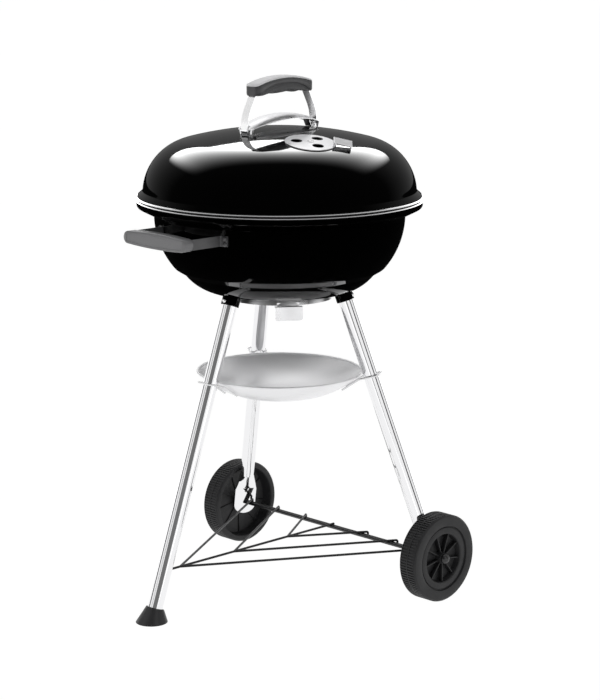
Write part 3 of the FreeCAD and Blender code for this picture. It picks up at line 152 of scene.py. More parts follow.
# base and other are colours that drift into each other; rough is the range of the mottled roughness
finishes = {
    "enamelBlack": {"base": (0.0035, 0.0035, 0.0038), "other": (0.006, 0.006, 0.0063), "rough": (0.03, 0.06),
                    "mottleScale": 14, "grain": 260, "bump": 0.012},
    "tubeChrome": {"base": (0.90, 0.90, 0.91), "other": (0.86, 0.86, 0.87), "rough": (0.035, 0.075), "metal": 1.0,
                   "mottleScale": 30, "grain": 500, "bump": 0.008},
    "strapChrome": {"base": (0.90, 0.90, 0.90), "other": (0.87, 0.87, 0.88), "rough": (0.26, 0.32), "metal": 1.0,
                    "mottleScale": 50, "grain": 900, "bump": 0.015},
    "platedWire": {"base": (0.70, 0.70, 0.69), "other": (0.58, 0.58, 0.57), "rough": (0.18, 0.32), "metal": 1.0,
                   "mottleScale": 60, "grain": 900, "bump": 0.02},
    "dishAluminium": {"base": (0.88, 0.88, 0.89), "other": (0.85, 0.85, 0.86), "rough": (0.36, 0.42), "metal": 0.55,
                      "mottleScale": 22, "spun": 900, "bump": 0.05},
    "sheetAluminium": {"base": (0.78, 0.78, 0.79), "other": (0.68, 0.68, 0.69), "rough": (0.26, 0.38), "metal": 1.0,
                       "mottleScale": 40, "grain": 700, "stretch": (0.08, 1.0, 1.0), "bump": 0.05},
    "blackWire": {"base": (0.004, 0.004, 0.005), "other": (0.009, 0.009, 0.010), "rough": (0.3, 0.42),
                  "specular": 0.3,
                  "mottleScale": 60, "grain": 700, "bump": 0.03},
    "wheelPlastic": {"base": (0.008, 0.008, 0.009), "other": (0.013, 0.013, 0.014), "rough": (0.42, 0.55),
                     "specular": 0.35,
                     "mottleScale": 40, "grain": 1400, "bump": 0.06},
    "capBlack": {"base": (0.010, 0.010, 0.011), "other": (0.016, 0.016, 0.017), "rough": (0.12, 0.2),
                 "mottleScale": 60, "grain": 900, "bump": 0.01},
    "footPlastic": {"base": (0.008, 0.008, 0.009), "other": (0.013, 0.013, 0.014), "rough": (0.35, 0.5),
                    "mottleScale": 50, "grain": 1200, "bump": 0.06},
    "gripDark": {"base": (0.025, 0.025, 0.027), "other": (0.035, 0.035, 0.037), "rough": (0.38, 0.5),
                 "mottleScale": 60, "grain": 1600, "bump": 0.08},
    "gripGrey": {"base": (0.110, 0.110, 0.114), "other": (0.130, 0.130, 0.134), "rough": (0.28, 0.38),
                 "mottleScale": 40, "grain": 1400, "bump": 0.04},
    "coverPale": {"base": (0.52, 0.52, 0.53), "other": (0.58, 0.58, 0.59), "rough": (0.3, 0.4),
                  "mottleScale": 50, "grain": 1400, "bump": 0.03},
    "armDark": {"base": (0.040, 0.040, 0.042), "other": (0.055, 0.055, 0.057), "rough": (0.3, 0.42),
                "mottleScale": 50, "grain": 900, "bump": 0.03},
    "brightSteel": {"base": (0.80, 0.80, 0.80), "other": (0.70, 0.70, 0.71), "rough": (0.15, 0.28), "metal": 1.0,
                    "mottleScale": 80, "grain": 1200, "bump": 0.02},
}


def placeGroup(tree, key, **values):
    node = tree.nodes.new("ShaderNodeGroup")
    node.node_tree = groups[key]
    for label, value in values.items():
        node.inputs[label].default_value = value
    return node


def makeFinish(name):
    f = finishes[name]
    material = bpy.data.materials.new(name)
    material.use_nodes = True
    tree = material.node_tree
    shader = tree.nodes["Principled BSDF"]
    shader.inputs["Metallic"].default_value = f.get("metal", 0.0)
    shader.inputs["Specular IOR Level"].default_value = f.get("specular", 0.5)
    drift = placeGroup(tree, "drift", Base=(*f["base"], 1), Other=(*f["other"], 1), Scale=f["mottleScale"] * 0.7)
    mottle = placeGroup(tree, "mottle", Scale=f["mottleScale"], Low=f["rough"][0], High=f["rough"][1])
    if "spun" in f:
        grain = placeGroup(tree, "spun", Scale=f["spun"], Centre=(0, kettle["axisY"], 0))
    else:
        grain = placeGroup(tree, "grain", Scale=f["grain"], Stretch=f.get("stretch", (1, 1, 1)))
    bump = tree.nodes.new("ShaderNodeBump")
    bump.inputs["Strength"].default_value = f["bump"]
    bump.inputs["Distance"].default_value = 0.001
    tree.links.new(drift.outputs["Color"], shader.inputs["Base Color"])
    tree.links.new(mottle.outputs["Value"], shader.inputs["Roughness"])
    tree.links.new(grain.outputs["Height"], bump.inputs["Height"])
    tree.links.new(bump.outputs["Normal"], shader.inputs["Normal"])
    return material


materials = {name: makeFinish(name) for name in finishes}
print("finishes made:", len(materials))

# the finish of each CAD node
nodeFinish = {
    "bowl": "enamelBlack", "lid": "enamelBlack", "leg_socket_front": "enamelBlack", "leg_socket_left": "enamelBlack",
    "leg_socket_right": "enamelBlack", "leg_front": "tubeChrome", "leg_left": "tubeChrome", "leg_right": "tubeChrome",
    "leg_screws": "brightSteel", "foot_cap": "footPlastic", "axle": "blackWire", "bottom_rack": "blackWire",
    "wheel_left": "wheelPlastic", "wheel_right": "wheelPlastic", "hub_cap_left": "capBlack",
    "hub_cap_right": "capBlack", "ash_catcher": "dishAluminium", "ash_clip_front": "brightSteel",
    "ash_clip_left": "brightSteel", "ash_clip_right": "brightSteel", "bowl_damper": "sheetAluminium",
    "bowl_damper_rivet": "brightSteel", "bowl_handle_grip": "gripGrey", "bowl_handle_arm_left": "armDark",
    "bowl_handle_arm_right": "armDark", "bowl_handle_nuts": "armDark", "charcoal_grate": "platedWire",
    "cooking_grate": "platedWire", "cooking_grate_handle_front": "platedWire",
    "cooking_grate_handle_rear": "platedWire", "lid_damper": "sheetAluminium", "lid_damper_rivet": "brightSteel",
    "lid_handle_arm_front": "strapChrome", "lid_handle_arm_rear": "strapChrome", "lid_handle_grip": "gripDark",
    "lid_handle_cover": "coverPale", "lid_handle_pad": "gripDark", "lid_heat_shield": "sheetAluminium",
    "lid_handle_bolts": "brightSteel", "lid_handle_nuts": "brightSteel",
}
for nodeName, finishName in nodeFinish.items():
    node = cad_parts[nodeName]
    node.data.materials.clear()
    node.data.materials.append(materials[finishName])
print("CAD nodes given their finishes")

# pieces are modelled in millimetres about the kettle's axis

def startProfile(bm, x, z):
    return bm.verts.new((x, 0, z))


def lineTo(bm, vert, x, z):
    reached = bm.verts.new((x, 0, z))
    bm.edges.new((vert, reached))
    return reached


def arcTo(bm, vert, centre, degrees, steps):
    turnedOut = bmesh.ops.spin(bm, geom=[vert], cent=(centre[0], 0, centre[1]), axis=(0, -1, 0), dvec=(0, 0, 0),
                               angle=math.radians(degrees), steps=steps, use_merge=False, use_duplicate=False)
    return [item for item in turnedOut["geom_last"] if isinstance(item, bmesh.types.BMVert)][0]


def softenCorners(bm, verts, offset, segments=2):
    bmesh.ops.bevel(bm, geom=verts, offset=offset, offset_type="OFFSET", segments=segments, profile=0.5,
                    affect="VERTICES", material=-1)


def spinFull(bm, axis=(0, 0, 1), steps=shellSteps):
    bmesh.ops.spin(bm, geom=bm.verts[:] + bm.edges[:], cent=(0, 0, 0), axis=axis, dvec=(0, 0, 0),
                   angle=2 * math.pi, steps=steps, use_merge=True, use_duplicate=False)
    bmesh.ops.remove_doubles(bm, verts=bm.verts[:], dist=1e-4)
    bmesh.ops.recalc_face_normals(bm, faces=bm.faces[:])


def addBlock(bm, size, centre, soften=0.0, segments=1):
    made = bmesh.ops.create_cube(bm, size=1.0)["verts"]
    bmesh.ops.scale(bm, vec=size, verts=made)
    bmesh.ops.translate(bm, vec=centre, verts=made)
    if soften:
        edges = list({edge for vert in made for edge in vert.link_edges})
        made = bmesh.ops.bevel(bm, geom=edges, offset=soften, offset_type="OFFSET", segments=segments, profile=0.5,
                               affect="EDGES", material=-1)["verts"]
    return made


def putInPlace(bm, lidTurned):
    if lidTurned:
        bmesh.ops.rotate(bm, cent=(0, 0, 0), matrix=Matrix.Rotation(math.radians(kettle["lidTurn"]), 3, "Z"),
                         verts=bm.verts[:])
    bmesh.ops.scale(bm, vec=(0.001, 0.001, 0.001), verts=bm.verts[:])
    bmesh.ops.translate(bm, vec=(0, kettle["axisY"], 0), verts=bm.verts[:])


def makePiece(name, bm, finish, body, replaced, lidTurned=False, creaseAngle=35):
    putInPlace(bm, lidTurned)
    mesh = bpy.data.meshes.new(name)
    bm.to_mesh(mesh)
    bm.free()
    mesh.shade_smooth()
    mesh.set_sharp_from_angle(angle=math.radians(creaseAngle))
    mesh.materials.append(materials[finish])
    piece = bpy.data.objects.new(name, mesh)
    bpy.context.scene.collection.objects.link(piece)
    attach(piece, body)
    if replaced:
        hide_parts(*replaced)
    print("piece made:", name)
    return piece


def cutOut(piece, cutter, lidTurned=False, creaseAngle=35):
    putInPlace(cutter, lidTurned)
    tool = bpy.data.objects.new("cutter", bpy.data.meshes.new("cutter"))
    cutter.to_mesh(tool.data)
    cutter.free()
    bpy.context.scene.collection.objects.link(tool)
    cut = piece.modifiers.new("cut", "BOOLEAN")
    cut.object = tool
    cut.operation = "DIFFERENCE"
    cut.solver = "EXACT"
    bpy.context.view_layer.update()
    seen = piece.evaluated_get(bpy.context.evaluated_depsgraph_get())
    mesh = bpy.data.meshes.new_from_object(seen)
    piece.modifiers.clear()
    piece.data = mesh
    mesh.shade_smooth()
    mesh.set_sharp_from_angle(angle=math.radians(creaseAngle))
    bpy.data.objects.remove(tool)


# the lid: dome, flare and the round roll at its edge
lid = {"apexZ": 797.8, "topArc": 642.0, "cornerArc": 92.4, "wallR": 230.7, "splitAngle": 75.43, "wallAngle": 5.78,
       "shellFoot": 693.4, "flareTop": 692.5, "rollTopR": 239.7, "rollTopZ": 684.6, "edgeR": 240.7,
       "edgeZ": 682.6, "seamZ": 679.4, "sheet": 1.2, "flareBend": 0.6, "edgeBend": 0.5, "flareLead": 0.1,
       "rollR": 2.2, "rollZ": 681.7, "rollInner": 240.0,
       "ventReach": 127.0, "ventTurn": -26.4, "holePitch": 23.0, "holeR": 9.5, "holeTurn": 8.0, "boltAt": 82.5,
       "boltHole": 3.2, "ventCut": 24, "boltCut": 40, "boltCutDrop": 8}


def ventFrame():
    lean = math.asin(lid["ventReach"] / lid["topArc"])
    height = lid["apexZ"] - lid["topArc"] + math.sqrt(lid["topArc"] ** 2 - lid["ventReach"] ** 2)
    turn = Matrix.Rotation(math.radians(lid["ventTurn"]), 4, "Z")
    return turn @ Matrix.Translation((lid["ventReach"], 0, height)) @ Matrix.Rotation(lean, 4, "Y")


def makeLidShell():
    bm = bmesh.new()
    cornerX = lid["wallR"] - lid["cornerArc"]
    topCentre = lid["apexZ"] - lid["topArc"]
    cornerZ = topCentre + math.sqrt((lid["topArc"] - lid["cornerArc"]) ** 2 - cornerX ** 2)
    at = startProfile(bm, 0, lid["apexZ"])
    at = arcTo(bm, at, (0, topCentre), lid["splitAngle"] - 90, 20)
    at = arcTo(bm, at, (cornerX, cornerZ), lid["wallAngle"] - lid["splitAngle"], 36)
    lineTo(bm, at, lid["wallR"], lid["shellFoot"])
    spinFull(bm)
    bmesh.ops.solidify(bm, geom=bm.faces[:], thickness=lid["sheet"])
    piece = makePiece("lidShell", bm, "enamelBlack", "lid", ["lid"], lidTurned=True)
    cutter = bmesh.new()
    places = [ventFrame() @ Matrix.Rotation(math.radians(lid["holeTurn"] + 120 * i), 4, "Z")
              @ Matrix.Translation((lid["holePitch"], 0, 0)) for i in range(3)]
    for place in places:
        bmesh.ops.create_cone(cutter, cap_ends=True, segments=48, radius1=lid["holeR"], radius2=lid["holeR"],
                              depth=lid["ventCut"], matrix=place)
    for side in (-1, 1):
        place = Matrix.Translation((0, side * lid["boltAt"], lid["apexZ"] - lid["boltCutDrop"]))
        bmesh.ops.create_cone(cutter, cap_ends=True, segments=24, radius1=lid["boltHole"], radius2=lid["boltHole"],
                              depth=lid["boltCut"], matrix=place)
    cutOut(piece, cutter, lidTurned=True)


def makeRimRoll(name, body, centreZ, radius, innerR, lidTurned=False):
    bm = bmesh.new()
    centreX = kettle["rimRadius"] * 1000 - radius
    half = math.degrees(math.acos((innerR - centreX) / radius))
    low = startProfile(bm, innerR, centreZ - radius * math.sin(math.radians(half)))
    high = arcTo(bm, low, (centreX, centreZ), 2 * half, 14)
    bm.edges.new((high, low))
    spinFull(bm)
    makePiece(name, bm, "enamelBlack", body, [], lidTurned=lidTurned, creaseAngle=50)


def makeLidFlare():
    bm = bmesh.new()
    wallFoot = startProfile(bm, lid["wallR"], lid["shellFoot"])
    flareTop = lineTo(bm, wallFoot, lid["wallR"] + lid["flareLead"], lid["flareTop"])
    rollTop = lineTo(bm, flareTop, lid["rollTopR"], lid["rollTopZ"])
    edgeTop = lineTo(bm, rollTop, lid["edgeR"], lid["edgeZ"])
    lineTo(bm, edgeTop, lid["edgeR"], lid["seamZ"])
    softenCorners(bm, [flareTop], lid["flareBend"], 3)
    softenCorners(bm, [rollTop, edgeTop], lid["edgeBend"])
    spinFull(bm)
    bmesh.ops.solidify(bm, geom=bm.faces[:], thickness=lid["sheet"])
    makePiece("lidFlare", bm, "enamelBlack", "lid", [], lidTurned=True)


makeLidShell()
makeLidFlare()
makeRimRoll("lidRimRoll", "lid", lid["rollZ"], lid["rollR"], lid["rollInner"], lidTurned=True)

# the bowl, with its step, sloping shoulder, rim band and floor slots
bowl = {"floorZ": 520.5, "floorR": 98.0, "lowArc": 80.0, "stepIn": 162.0, "stepOut": 178.0, "stepZ": 562.0,
        "wallArc": 138.0, "wallFoot": 41.0, "wallTop": 1.0, "ledgeR": 212.0, "ledgeZ": 652.5, "bandFoot": 667.0,
        "bandR": 240.8, "bandTop": 677.6, "neckR": 238.9, "neckTop": 681.8, "rollR": 1.7, "rollZ": 676.9,
        "rollInner": 240.2, "sheet": 1.2, "joggle": 0.9, "slotIn": 26.0, "slotOut": 66.0, "slotSpan": 34.0,
        "slotTurn": 10.0, "slots": 4, "slotCutLow": -6, "slotCutHigh": 8, "slotMargin": 6}


def makeBowlShell():
    bm = bmesh.new()
    lowZ = bowl["floorZ"] + bowl["lowArc"]
    lowEnd = -math.degrees(math.acos((bowl["stepIn"] - bowl["floorR"]) / bowl["lowArc"]))
    wallX = bowl["stepOut"] - bowl["wallArc"] * math.cos(math.radians(bowl["wallFoot"]))
    wallZ = bowl["stepZ"] + bowl["wallArc"] * math.sin(math.radians(bowl["wallFoot"]))
    at = startProfile(bm, 0, bowl["floorZ"])
    at = lineTo(bm, at, bowl["slotOut"] + bowl["slotMargin"], bowl["floorZ"])
    at = lineTo(bm, at, bowl["floorR"], bowl["floorZ"])
    stepFoot = arcTo(bm, at, (bowl["floorR"], lowZ), lowEnd + 90, 18)
    stepHead = lineTo(bm, stepFoot, bowl["stepOut"], bowl["stepZ"])
    at = arcTo(bm, stepHead, (wallX, wallZ), bowl["wallFoot"] - bowl["wallTop"], 26)
    ledge = lineTo(bm, at, bowl["ledgeR"], bowl["ledgeZ"])
    bandFoot = lineTo(bm, ledge, bowl["bandR"], bowl["bandFoot"])
    bandTop = lineTo(bm, bandFoot, bowl["bandR"], bowl["bandTop"])
    neck = lineTo(bm, bandTop, bowl["neckR"], bowl["bandTop"] + bowl["joggle"])
    lineTo(bm, neck, bowl["neckR"], bowl["neckTop"])
    softenCorners(bm, [stepFoot, stepHead], 2.0, 3)
    softenCorners(bm, [ledge], 1.0, 3)
    softenCorners(bm, [bandFoot], 2.2, 4)
    softenCorners(bm, [bandTop, neck], 0.4, 2)
    spinFull(bm)
    bmesh.ops.solidify(bm, geom=bm.faces[:], thickness=bowl["sheet"])
    piece = makePiece("bowlShell", bm, "enamelBlack", "stand", ["bowl"])
    cutter = bmesh.new()
    half = bowl["slotSpan"] / 2
    low = bowl["floorZ"] + bowl["slotCutLow"]
    high = bowl["floorZ"] + bowl["slotCutHigh"]
    for i in range(bowl["slots"]):
        corners = [cutter.verts.new((x, 0, z)) for x, z in
                   ((bowl["slotIn"], low), (bowl["slotOut"], low), (bowl["slotOut"], high), (bowl["slotIn"], high))]
        face = cutter.faces.new(corners)
        turnStart = math.radians(bowl["slotTurn"] - half + i * 360 / bowl["slots"])
        bmesh.ops.rotate(cutter, cent=(0, 0, 0), matrix=Matrix.Rotation(turnStart, 3, "Z"), verts=corners)
        bmesh.ops.spin(cutter, geom=[face], cent=(0, 0, 0), axis=(0, 0, 1), dvec=(0, 0, 0),
                       angle=math.radians(bowl["slotSpan"]), steps=12, use_merge=False, use_duplicate=False)
    bmesh.ops.recalc_face_normals(cutter, faces=cutter.faces[:])
    cutOut(piece, cutter)


makeBowlShell()
makeRimRoll("bowlRimRoll", "stand", bowl["rollZ"], bowl["rollR"], bowl["rollInner"])

# the ash dish is one spun sheet with a rolled bead
dish = {"rimR": 141.0, "rimZ": 380.7, "depth": 42.0, "flatR": 38.0, "flatRise": 1.1, "sheet": 1.2, "beadR": 2.2,
        "beadIn": 0.9, "crestIn": 2.5, "bend": 1.0}


def makeAshDish():
    bm = bmesh.new()
    base = dish["rimZ"] - dish["depth"]
    run = dish["rimR"] - dish["flatR"]
    big = (run ** 2 + dish["depth"] ** 2) / (2 * dish["depth"])
    at = startProfile(bm, 0, base + dish["flatRise"])
    crest = lineTo(bm, at, dish["flatR"] - dish["crestIn"], base + dish["flatRise"])
    crease = lineTo(bm, crest, dish["flatR"], base)
    arcTo(bm, crease, (dish["flatR"], base + big), math.degrees(math.asin(run / big)), 34)
    softenCorners(bm, [crest], dish["bend"], 3)
    softenCorners(bm, [crease], dish["bend"], 3)
    spinFull(bm)
    bmesh.ops.solidify(bm, geom=bm.faces[:], thickness=-dish["sheet"])
    ring = bmesh.new()
    start = ring.verts.new((dish["rimR"] - dish["beadIn"] + dish["beadR"], 0, dish["rimZ"]))
    bmesh.ops.spin(ring, geom=[start], cent=(dish["rimR"] - dish["beadIn"], 0, dish["rimZ"]), axis=(0, 1, 0),
                   dvec=(0, 0, 0), angle=2 * math.pi, steps=14, use_merge=True, use_duplicate=False)
    spinFull(ring)
    joined = bpy.data.meshes.new("bead")
    ring.to_mesh(joined)
    ring.free()
    bm.from_mesh(joined)
    bpy.data.meshes.remove(joined)
    makePiece("ashDish", bm, "dishAluminium", "ash_catcher", ["ash_catcher"], creaseAngle=50)


makeAshDish()

# each wheel is one plastic moulding; points run along its width from the inner face, then out from the axle
wheelShape = {"radius": 75.0, "width": 36.5, "treadDepth": 1.6, "rowStart": 3.0, "ribWidth": 2.5, "lugs": 96,
              "lugWidth": 2.7, "hubR": 10.0, "bore": 4.05, "ribs": 9, "ribThick": 2.0, "ribTurn": 20.0,
              "lugTall": 2.4, "lugSoft": 0.3, "ribSoft": 0.4, "cornerSoft": 0.35}


def makeWheel(name, body, side):
    low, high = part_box(name)
    bm = bmesh.new()
    top = wheelShape["radius"]
    floor = top - wheelShape["treadDepth"]
    wide = wheelShape["width"]
    rowEnd = (wide - wheelShape["ribWidth"]) / 2
    row = rowEnd - wheelShape["rowStart"]
    points = ((15.0, wheelShape["bore"]), (15.0, wheelShape["hubR"]), (21.5, 11.5), (21.5, 61.5), (2.0, 64.0),
              (0.0, 65.5), (0.0, 72.2), (2.6, top), (wheelShape["rowStart"] + 0.4, top),
              (wheelShape["rowStart"], floor), (rowEnd, floor), (rowEnd + 0.2, top), (wide - rowEnd - 0.2, top),
              (wide - rowEnd, floor), (wide - wheelShape["rowStart"], floor),
              (wide - wheelShape["rowStart"], top), (wide - 2.6, top), (wide, 72.2), (wide, 56.2),
              (wide - 3.4, 55.6), (wide - 3.4, 53.9), (wide - 1.9, 53.3), (wide - 1.7, 43.2), (wide - 3.2, 41.8),
              (24.0, 39.6), (24.0, 12.0), (31.0, 10.2), (wide - 1.0, 9.6), (wide - 1.0, wheelShape["bore"]))
    profile = [bm.verts.new((x, 0, r)) for x, r in points]
    for i, vert in enumerate(profile):
        bm.edges.new((vert, profile[(i + 1) % len(profile)]))
    softenCorners(bm, profile[1:-1], wheelShape["cornerSoft"])
    spinFull(bm, axis=(1, 0, 0), steps=144)
    for i in range(wheelShape["ribs"]):
        turn = Matrix.Rotation(math.radians(wheelShape["ribTurn"] + i * 360 / wheelShape["ribs"]), 3, "X")
        made = addBlock(bm, (9.0, wheelShape["ribThick"], 33.0), (27.4, 0, 25.0), wheelShape["ribSoft"], 2)
        made += addBlock(bm, (1.9, wheelShape["ribThick"], 52.0), (20.6, 0, 36.5), wheelShape["ribSoft"], 2)
        bmesh.ops.rotate(bm, cent=(0, 0, 0), matrix=turn, verts=made)
    for i in range(wheelShape["lugs"]):
        turn = Matrix.Rotation(2 * math.pi * i / wheelShape["lugs"], 3, "X")
        made = []
        lug = (row, wheelShape["lugWidth"], wheelShape["lugTall"])
        for start in (wheelShape["rowStart"], wide - rowEnd):
            made += addBlock(bm, lug, (start + row / 2, 0, top - wheelShape["lugTall"] / 2), wheelShape["lugSoft"])
        bmesh.ops.rotate(bm, cent=(0, 0, 0), matrix=turn, verts=made)
    if side < 0:
        bmesh.ops.scale(bm, vec=(-1, 1, 1), verts=bm.verts[:])
        bmesh.ops.reverse_faces(bm, faces=bm.faces[:])
    inner = low[0] if side > 0 else high[0]
    centre = (inner * 1000, ((low[1] + high[1]) / 2 - kettle["axisY"]) * 1000, (low[2] + high[2]) / 2 * 1000)
    bmesh.ops.translate(bm, vec=centre, verts=bm.verts[:])
    makePiece(name + "_tyre", bm, "wheelPlastic", body, [name], creaseAngle=40)


makeWheel("wheel_right", "wheel_right", 1)
makeWheel("wheel_left", "wheel_left", -1)

# grips are bars swept along an arch; each section point hangs from the top or stands on the base

def sweepBar(bm, stations, pointsAt):
    loop = [bm.verts.new(point) for point in pointsAt(stations[0])]
    rim = [bm.edges.new((vert, loop[(i + 1) % len(loop)])) for i, vert in enumerate(loop)]
    bm.faces.new(loop)
    for station in stations[1:]:
        moved = bmesh.ops.extrude_edge_only(bm, edges=rim)["geom"]
        loopVerts = [item for item in moved if isinstance(item, bmesh.types.BMVert)]
        rim = [item for item in moved if isinstance(item, bmesh.types.BMEdge)
               and all(vert in loopVerts for vert in item.verts)]
        follow = {}
        for edge in bm.edges:
            a, b = edge.verts
            if (a in loopVerts) != (b in loopVerts):
                new, old = (a, b) if a in loopVerts else (b, a)
                follow[new] = old
        places = dict(zip(loop, pointsAt(station)))
        for new, old in follow.items():
            new.co = places[old]
        loop = [next(new for new, old in follow.items() if old is vert) for vert in loop]
    bm.faces.new(loop)
    bmesh.ops.recalc_face_normals(bm, faces=bm.faces[:])


def alongWithRoundEnds(half, corner, pitch):
    steps = max(2, int((half - corner) * 2 / pitch))
    middle = [-(half - corner) + i * 2 * (half - corner) / steps for i in range(steps + 1)]
    bend = [half - corner + corner * math.sin(math.radians(a)) for a in (20, 40, 58, 74, 85, 90)]
    return [-u for u in reversed(bend)] + middle + bend


def endTaper(u, half, corner):
    past = max(0.0, abs(u) - (half - corner))
    return corner - math.sqrt(max(0.0, corner ** 2 - past ** 2))


def arch(u, half, middleZ, endZ):
    big = (half ** 2 + (middleZ - endZ) ** 2) / (2 * (middleZ - endZ))
    return middleZ - big + math.sqrt(big ** 2 - u ** 2)


# the grip on the lid, with its pale cover and the ribbed pad under it
lidGrip = {"half": 72.5, "corner": 7.0, "halfWide": 14.0, "coverThick": 4.0, "topZ": 884.5, "topEndZ": 874.0,
           "bellyZ": 860.0, "bellyEndZ": 854.5, "blockLength": 16.0, "ledge": 8.0, "ledgeEnd": 15.0, "inset": 1.0,
           "padHalf": 38.0, "padHalfWide": 10.0, "padDeep": 4.2, "ribPitch": 3.0, "ribDeep": 1.0, "pitch": 3.4}


def gripBelly(u):
    inner = lidGrip["half"] - lidGrip["blockLength"]
    if abs(u) >= inner:
        return lidGrip["bellyEndZ"]
    return arch(u, inner, lidGrip["bellyZ"], lidGrip["bellyEndZ"])


def makeLidGrip():
    g = lidGrip

    def pointsAt(u):
        top = arch(u, g["half"], g["topZ"], g["topEndZ"]) - g["coverThick"]
        belly = gripBelly(u)
        narrow = endTaper(u, g["half"], g["corner"])
        ledge = top - g["ledge"] - (g["ledgeEnd"] - g["ledge"]) * min(1.0, abs(u) / (g["half"] - 12)) ** 4
        ledge = max(ledge, belly + 2.4)
        w = g["halfWide"]
        inset = g["inset"]
        side = [(w - 0.7, top), (w, top - 0.8), (w, ledge + 0.4), (w - 0.4, ledge - 0.1), (w - inset, ledge - 0.7),
                (w - inset, belly + 1.5), (w - inset - 0.5, belly + 0.4), (w - inset - 1.6, belly)]
        right = [(max(0.4, x - narrow), u, z) for x, z in side]
        left = [(-x, y, z) for x, y, z in reversed(right)]
        return right + left

    bm = bmesh.new()
    sweepBar(bm, alongWithRoundEnds(g["half"], g["corner"], g["pitch"]), pointsAt)
    makePiece("lidGrip", bm, "gripDark", "lid", ["lid_handle_grip"], lidTurned=True, creaseAngle=50)


def makeLidGripCover():
    g = lidGrip

    def pointsAt(u):
        top = arch(u, g["half"], g["topZ"], g["topEndZ"])
        narrow = endTaper(u, g["half"], g["corner"])
        drop = narrow * 0.16
        w = g["halfWide"]
        side = [(4.0, top - 0.06), (8.0, top - 0.3), (11.4, top - 0.85), (13.0, top - 1.5), (13.75, top - 2.3),
                (w, top - 3.1), (w, top - 3.6), (w - 0.4, top - 3.98)]
        right = [(max(0.3, x - narrow * min(1.0, x / 8.0)), u, z - (drop if i < 5 else 0))
                 for i, (x, z) in enumerate(side)]
        left = [(-x, y, z) for x, y, z in reversed(right)]
        return right + left

    bm = bmesh.new()
    sweepBar(bm, alongWithRoundEnds(g["half"], g["corner"], g["pitch"]), pointsAt)
    makePiece("lidGripCover", bm, "coverPale", "lid", ["lid_handle_cover"], lidTurned=True,
              creaseAngle=50)


def makeLidGripPad():
    g = lidGrip
    bm = bmesh.new()

    def padAt(low, high, deepest, ribbed):
        def pointsAt(u):
            share = (u - low) / (high - low)
            deep = deepest * math.sin(math.pi * min(1.0, max(0.0, share))) ** 0.6
            if ribbed:
                phase = (u - low) / g["ribPitch"]
                deep -= g["ribDeep"] * (1 if phase - math.floor(phase) > 0.55 else 0) * (deep > 1.4)
            z = gripBelly(u)
            w = g["padHalfWide"]
            side = [(w, z + 0.3), (w, z - deep * 0.35), (w - 1.2, z - deep * 0.72), (w - 3.4, z - deep * 0.93),
                    (2.4, z - deep - 0.02)]
            right = [(x, u, zz) for x, zz in side]
            left = [(-x, y, zz) for x, y, zz in reversed(right)]
            return right + left
        return pointsAt

    ribbedStations = []
    count = int((g["padHalf"] + 12.0) / g["ribPitch"])
    for i in range(count):
        start = -g["padHalf"] + i * g["ribPitch"]
        ribbedStations += [start + share * g["ribPitch"] for share in (0, 0.5, 0.62, 0.92)]
    sweepBar(bm, ribbedStations, padAt(-g["padHalf"] - 0.5, g["padHalf"] * 0.45, g["padDeep"], True))
    smoothStations = [12.6 + i * 1.6 for i in range(17)]
    sweepBar(bm, smoothStations, padAt(12.0, g["padHalf"] + 0.8, g["padDeep"] * 0.9, False))
    makePiece("lidGripPad", bm, "gripDark", "lid", ["lid_handle_pad"], lidTurned=True, creaseAngle=30)


makeLidGrip()
makeLidGripCover()
makeLidGripPad()

# the grip on the bowl
bowlGrip = {"half": 73.5, "middleHigh": 25.5, "endHigh": 19.5, "deep": 20.0, "frontY": -281.5, "centreZ": 634.5,
            "corner": 7.0, "edge": 2.2, "panelIn": 1.9, "panelDeep": 0.7, "panelStep": 0.5, "panelEnd": 5.5,
            "frontFacing": -0.97, "pitch": 4.0}


def makeBowlGrip():
    g = bowlGrip

    def pointsAt(u):
        rise = (g["middleHigh"] - g["endHigh"]) / 2
        big = (g["half"] ** 2 + rise ** 2) / (2 * rise)
        halfHigh = g["middleHigh"] / 2 - big + math.sqrt(big ** 2 - u ** 2)
        halfHigh -= endTaper(u, g["half"], g["corner"])
        e = min(g["edge"], halfHigh * 0.45)
        front = g["frontY"]
        back = front + g["deep"]
        top = [(u, front + e * 0.02, halfHigh - e), (u, front + e * 0.3, halfHigh - e * 0.3),
               (u, front + e, halfHigh), (u, back - e, halfHigh), (u, back - e * 0.3, halfHigh - e * 0.3),
               (u, back, halfHigh - e)]
        low = [(x, y, -z) for x, y, z in reversed(top)]
        return [(x, y, z + g["centreZ"]) for x, y, z in top + low]

    bm = bmesh.new()
    sweepBar(bm, alongWithRoundEnds(g["half"], g["corner"], g["pitch"]), pointsAt)
    bm.faces.ensure_lookup_table()
    reach = g["half"] - g["panelEnd"]
    frontFaces = [face for face in bm.faces
                  if face.normal.y < g["frontFacing"] and abs(face.calc_center_median().x) < reach]
    bmesh.ops.inset_region(bm, faces=frontFaces, thickness=g["panelIn"], depth=0.0, use_even_offset=True)
    frontFaces = [face for face in frontFaces if face.is_valid]
    bmesh.ops.inset_region(bm, faces=frontFaces, thickness=g["panelStep"], depth=-g["panelDeep"],
                           use_even_offset=True)
    makePiece("bowlGrip", bm, "gripGrey", "stand", ["bowl_handle_grip"], creaseAngle=42)


makeBowlGrip()

# camera, lights and floor
camera = {"place": (2.6431, -2.5143, 1.1887), "target": (0.0, 0.03975, 0.4294), "lens": 113.04,
          "shiftX": 0.029, "shiftY": -0.0107}


def aimed(obj, target):
    direction = Vector(target) - obj.location
    obj.rotation_euler = direction.to_track_quat("-Z", "Y").to_euler()


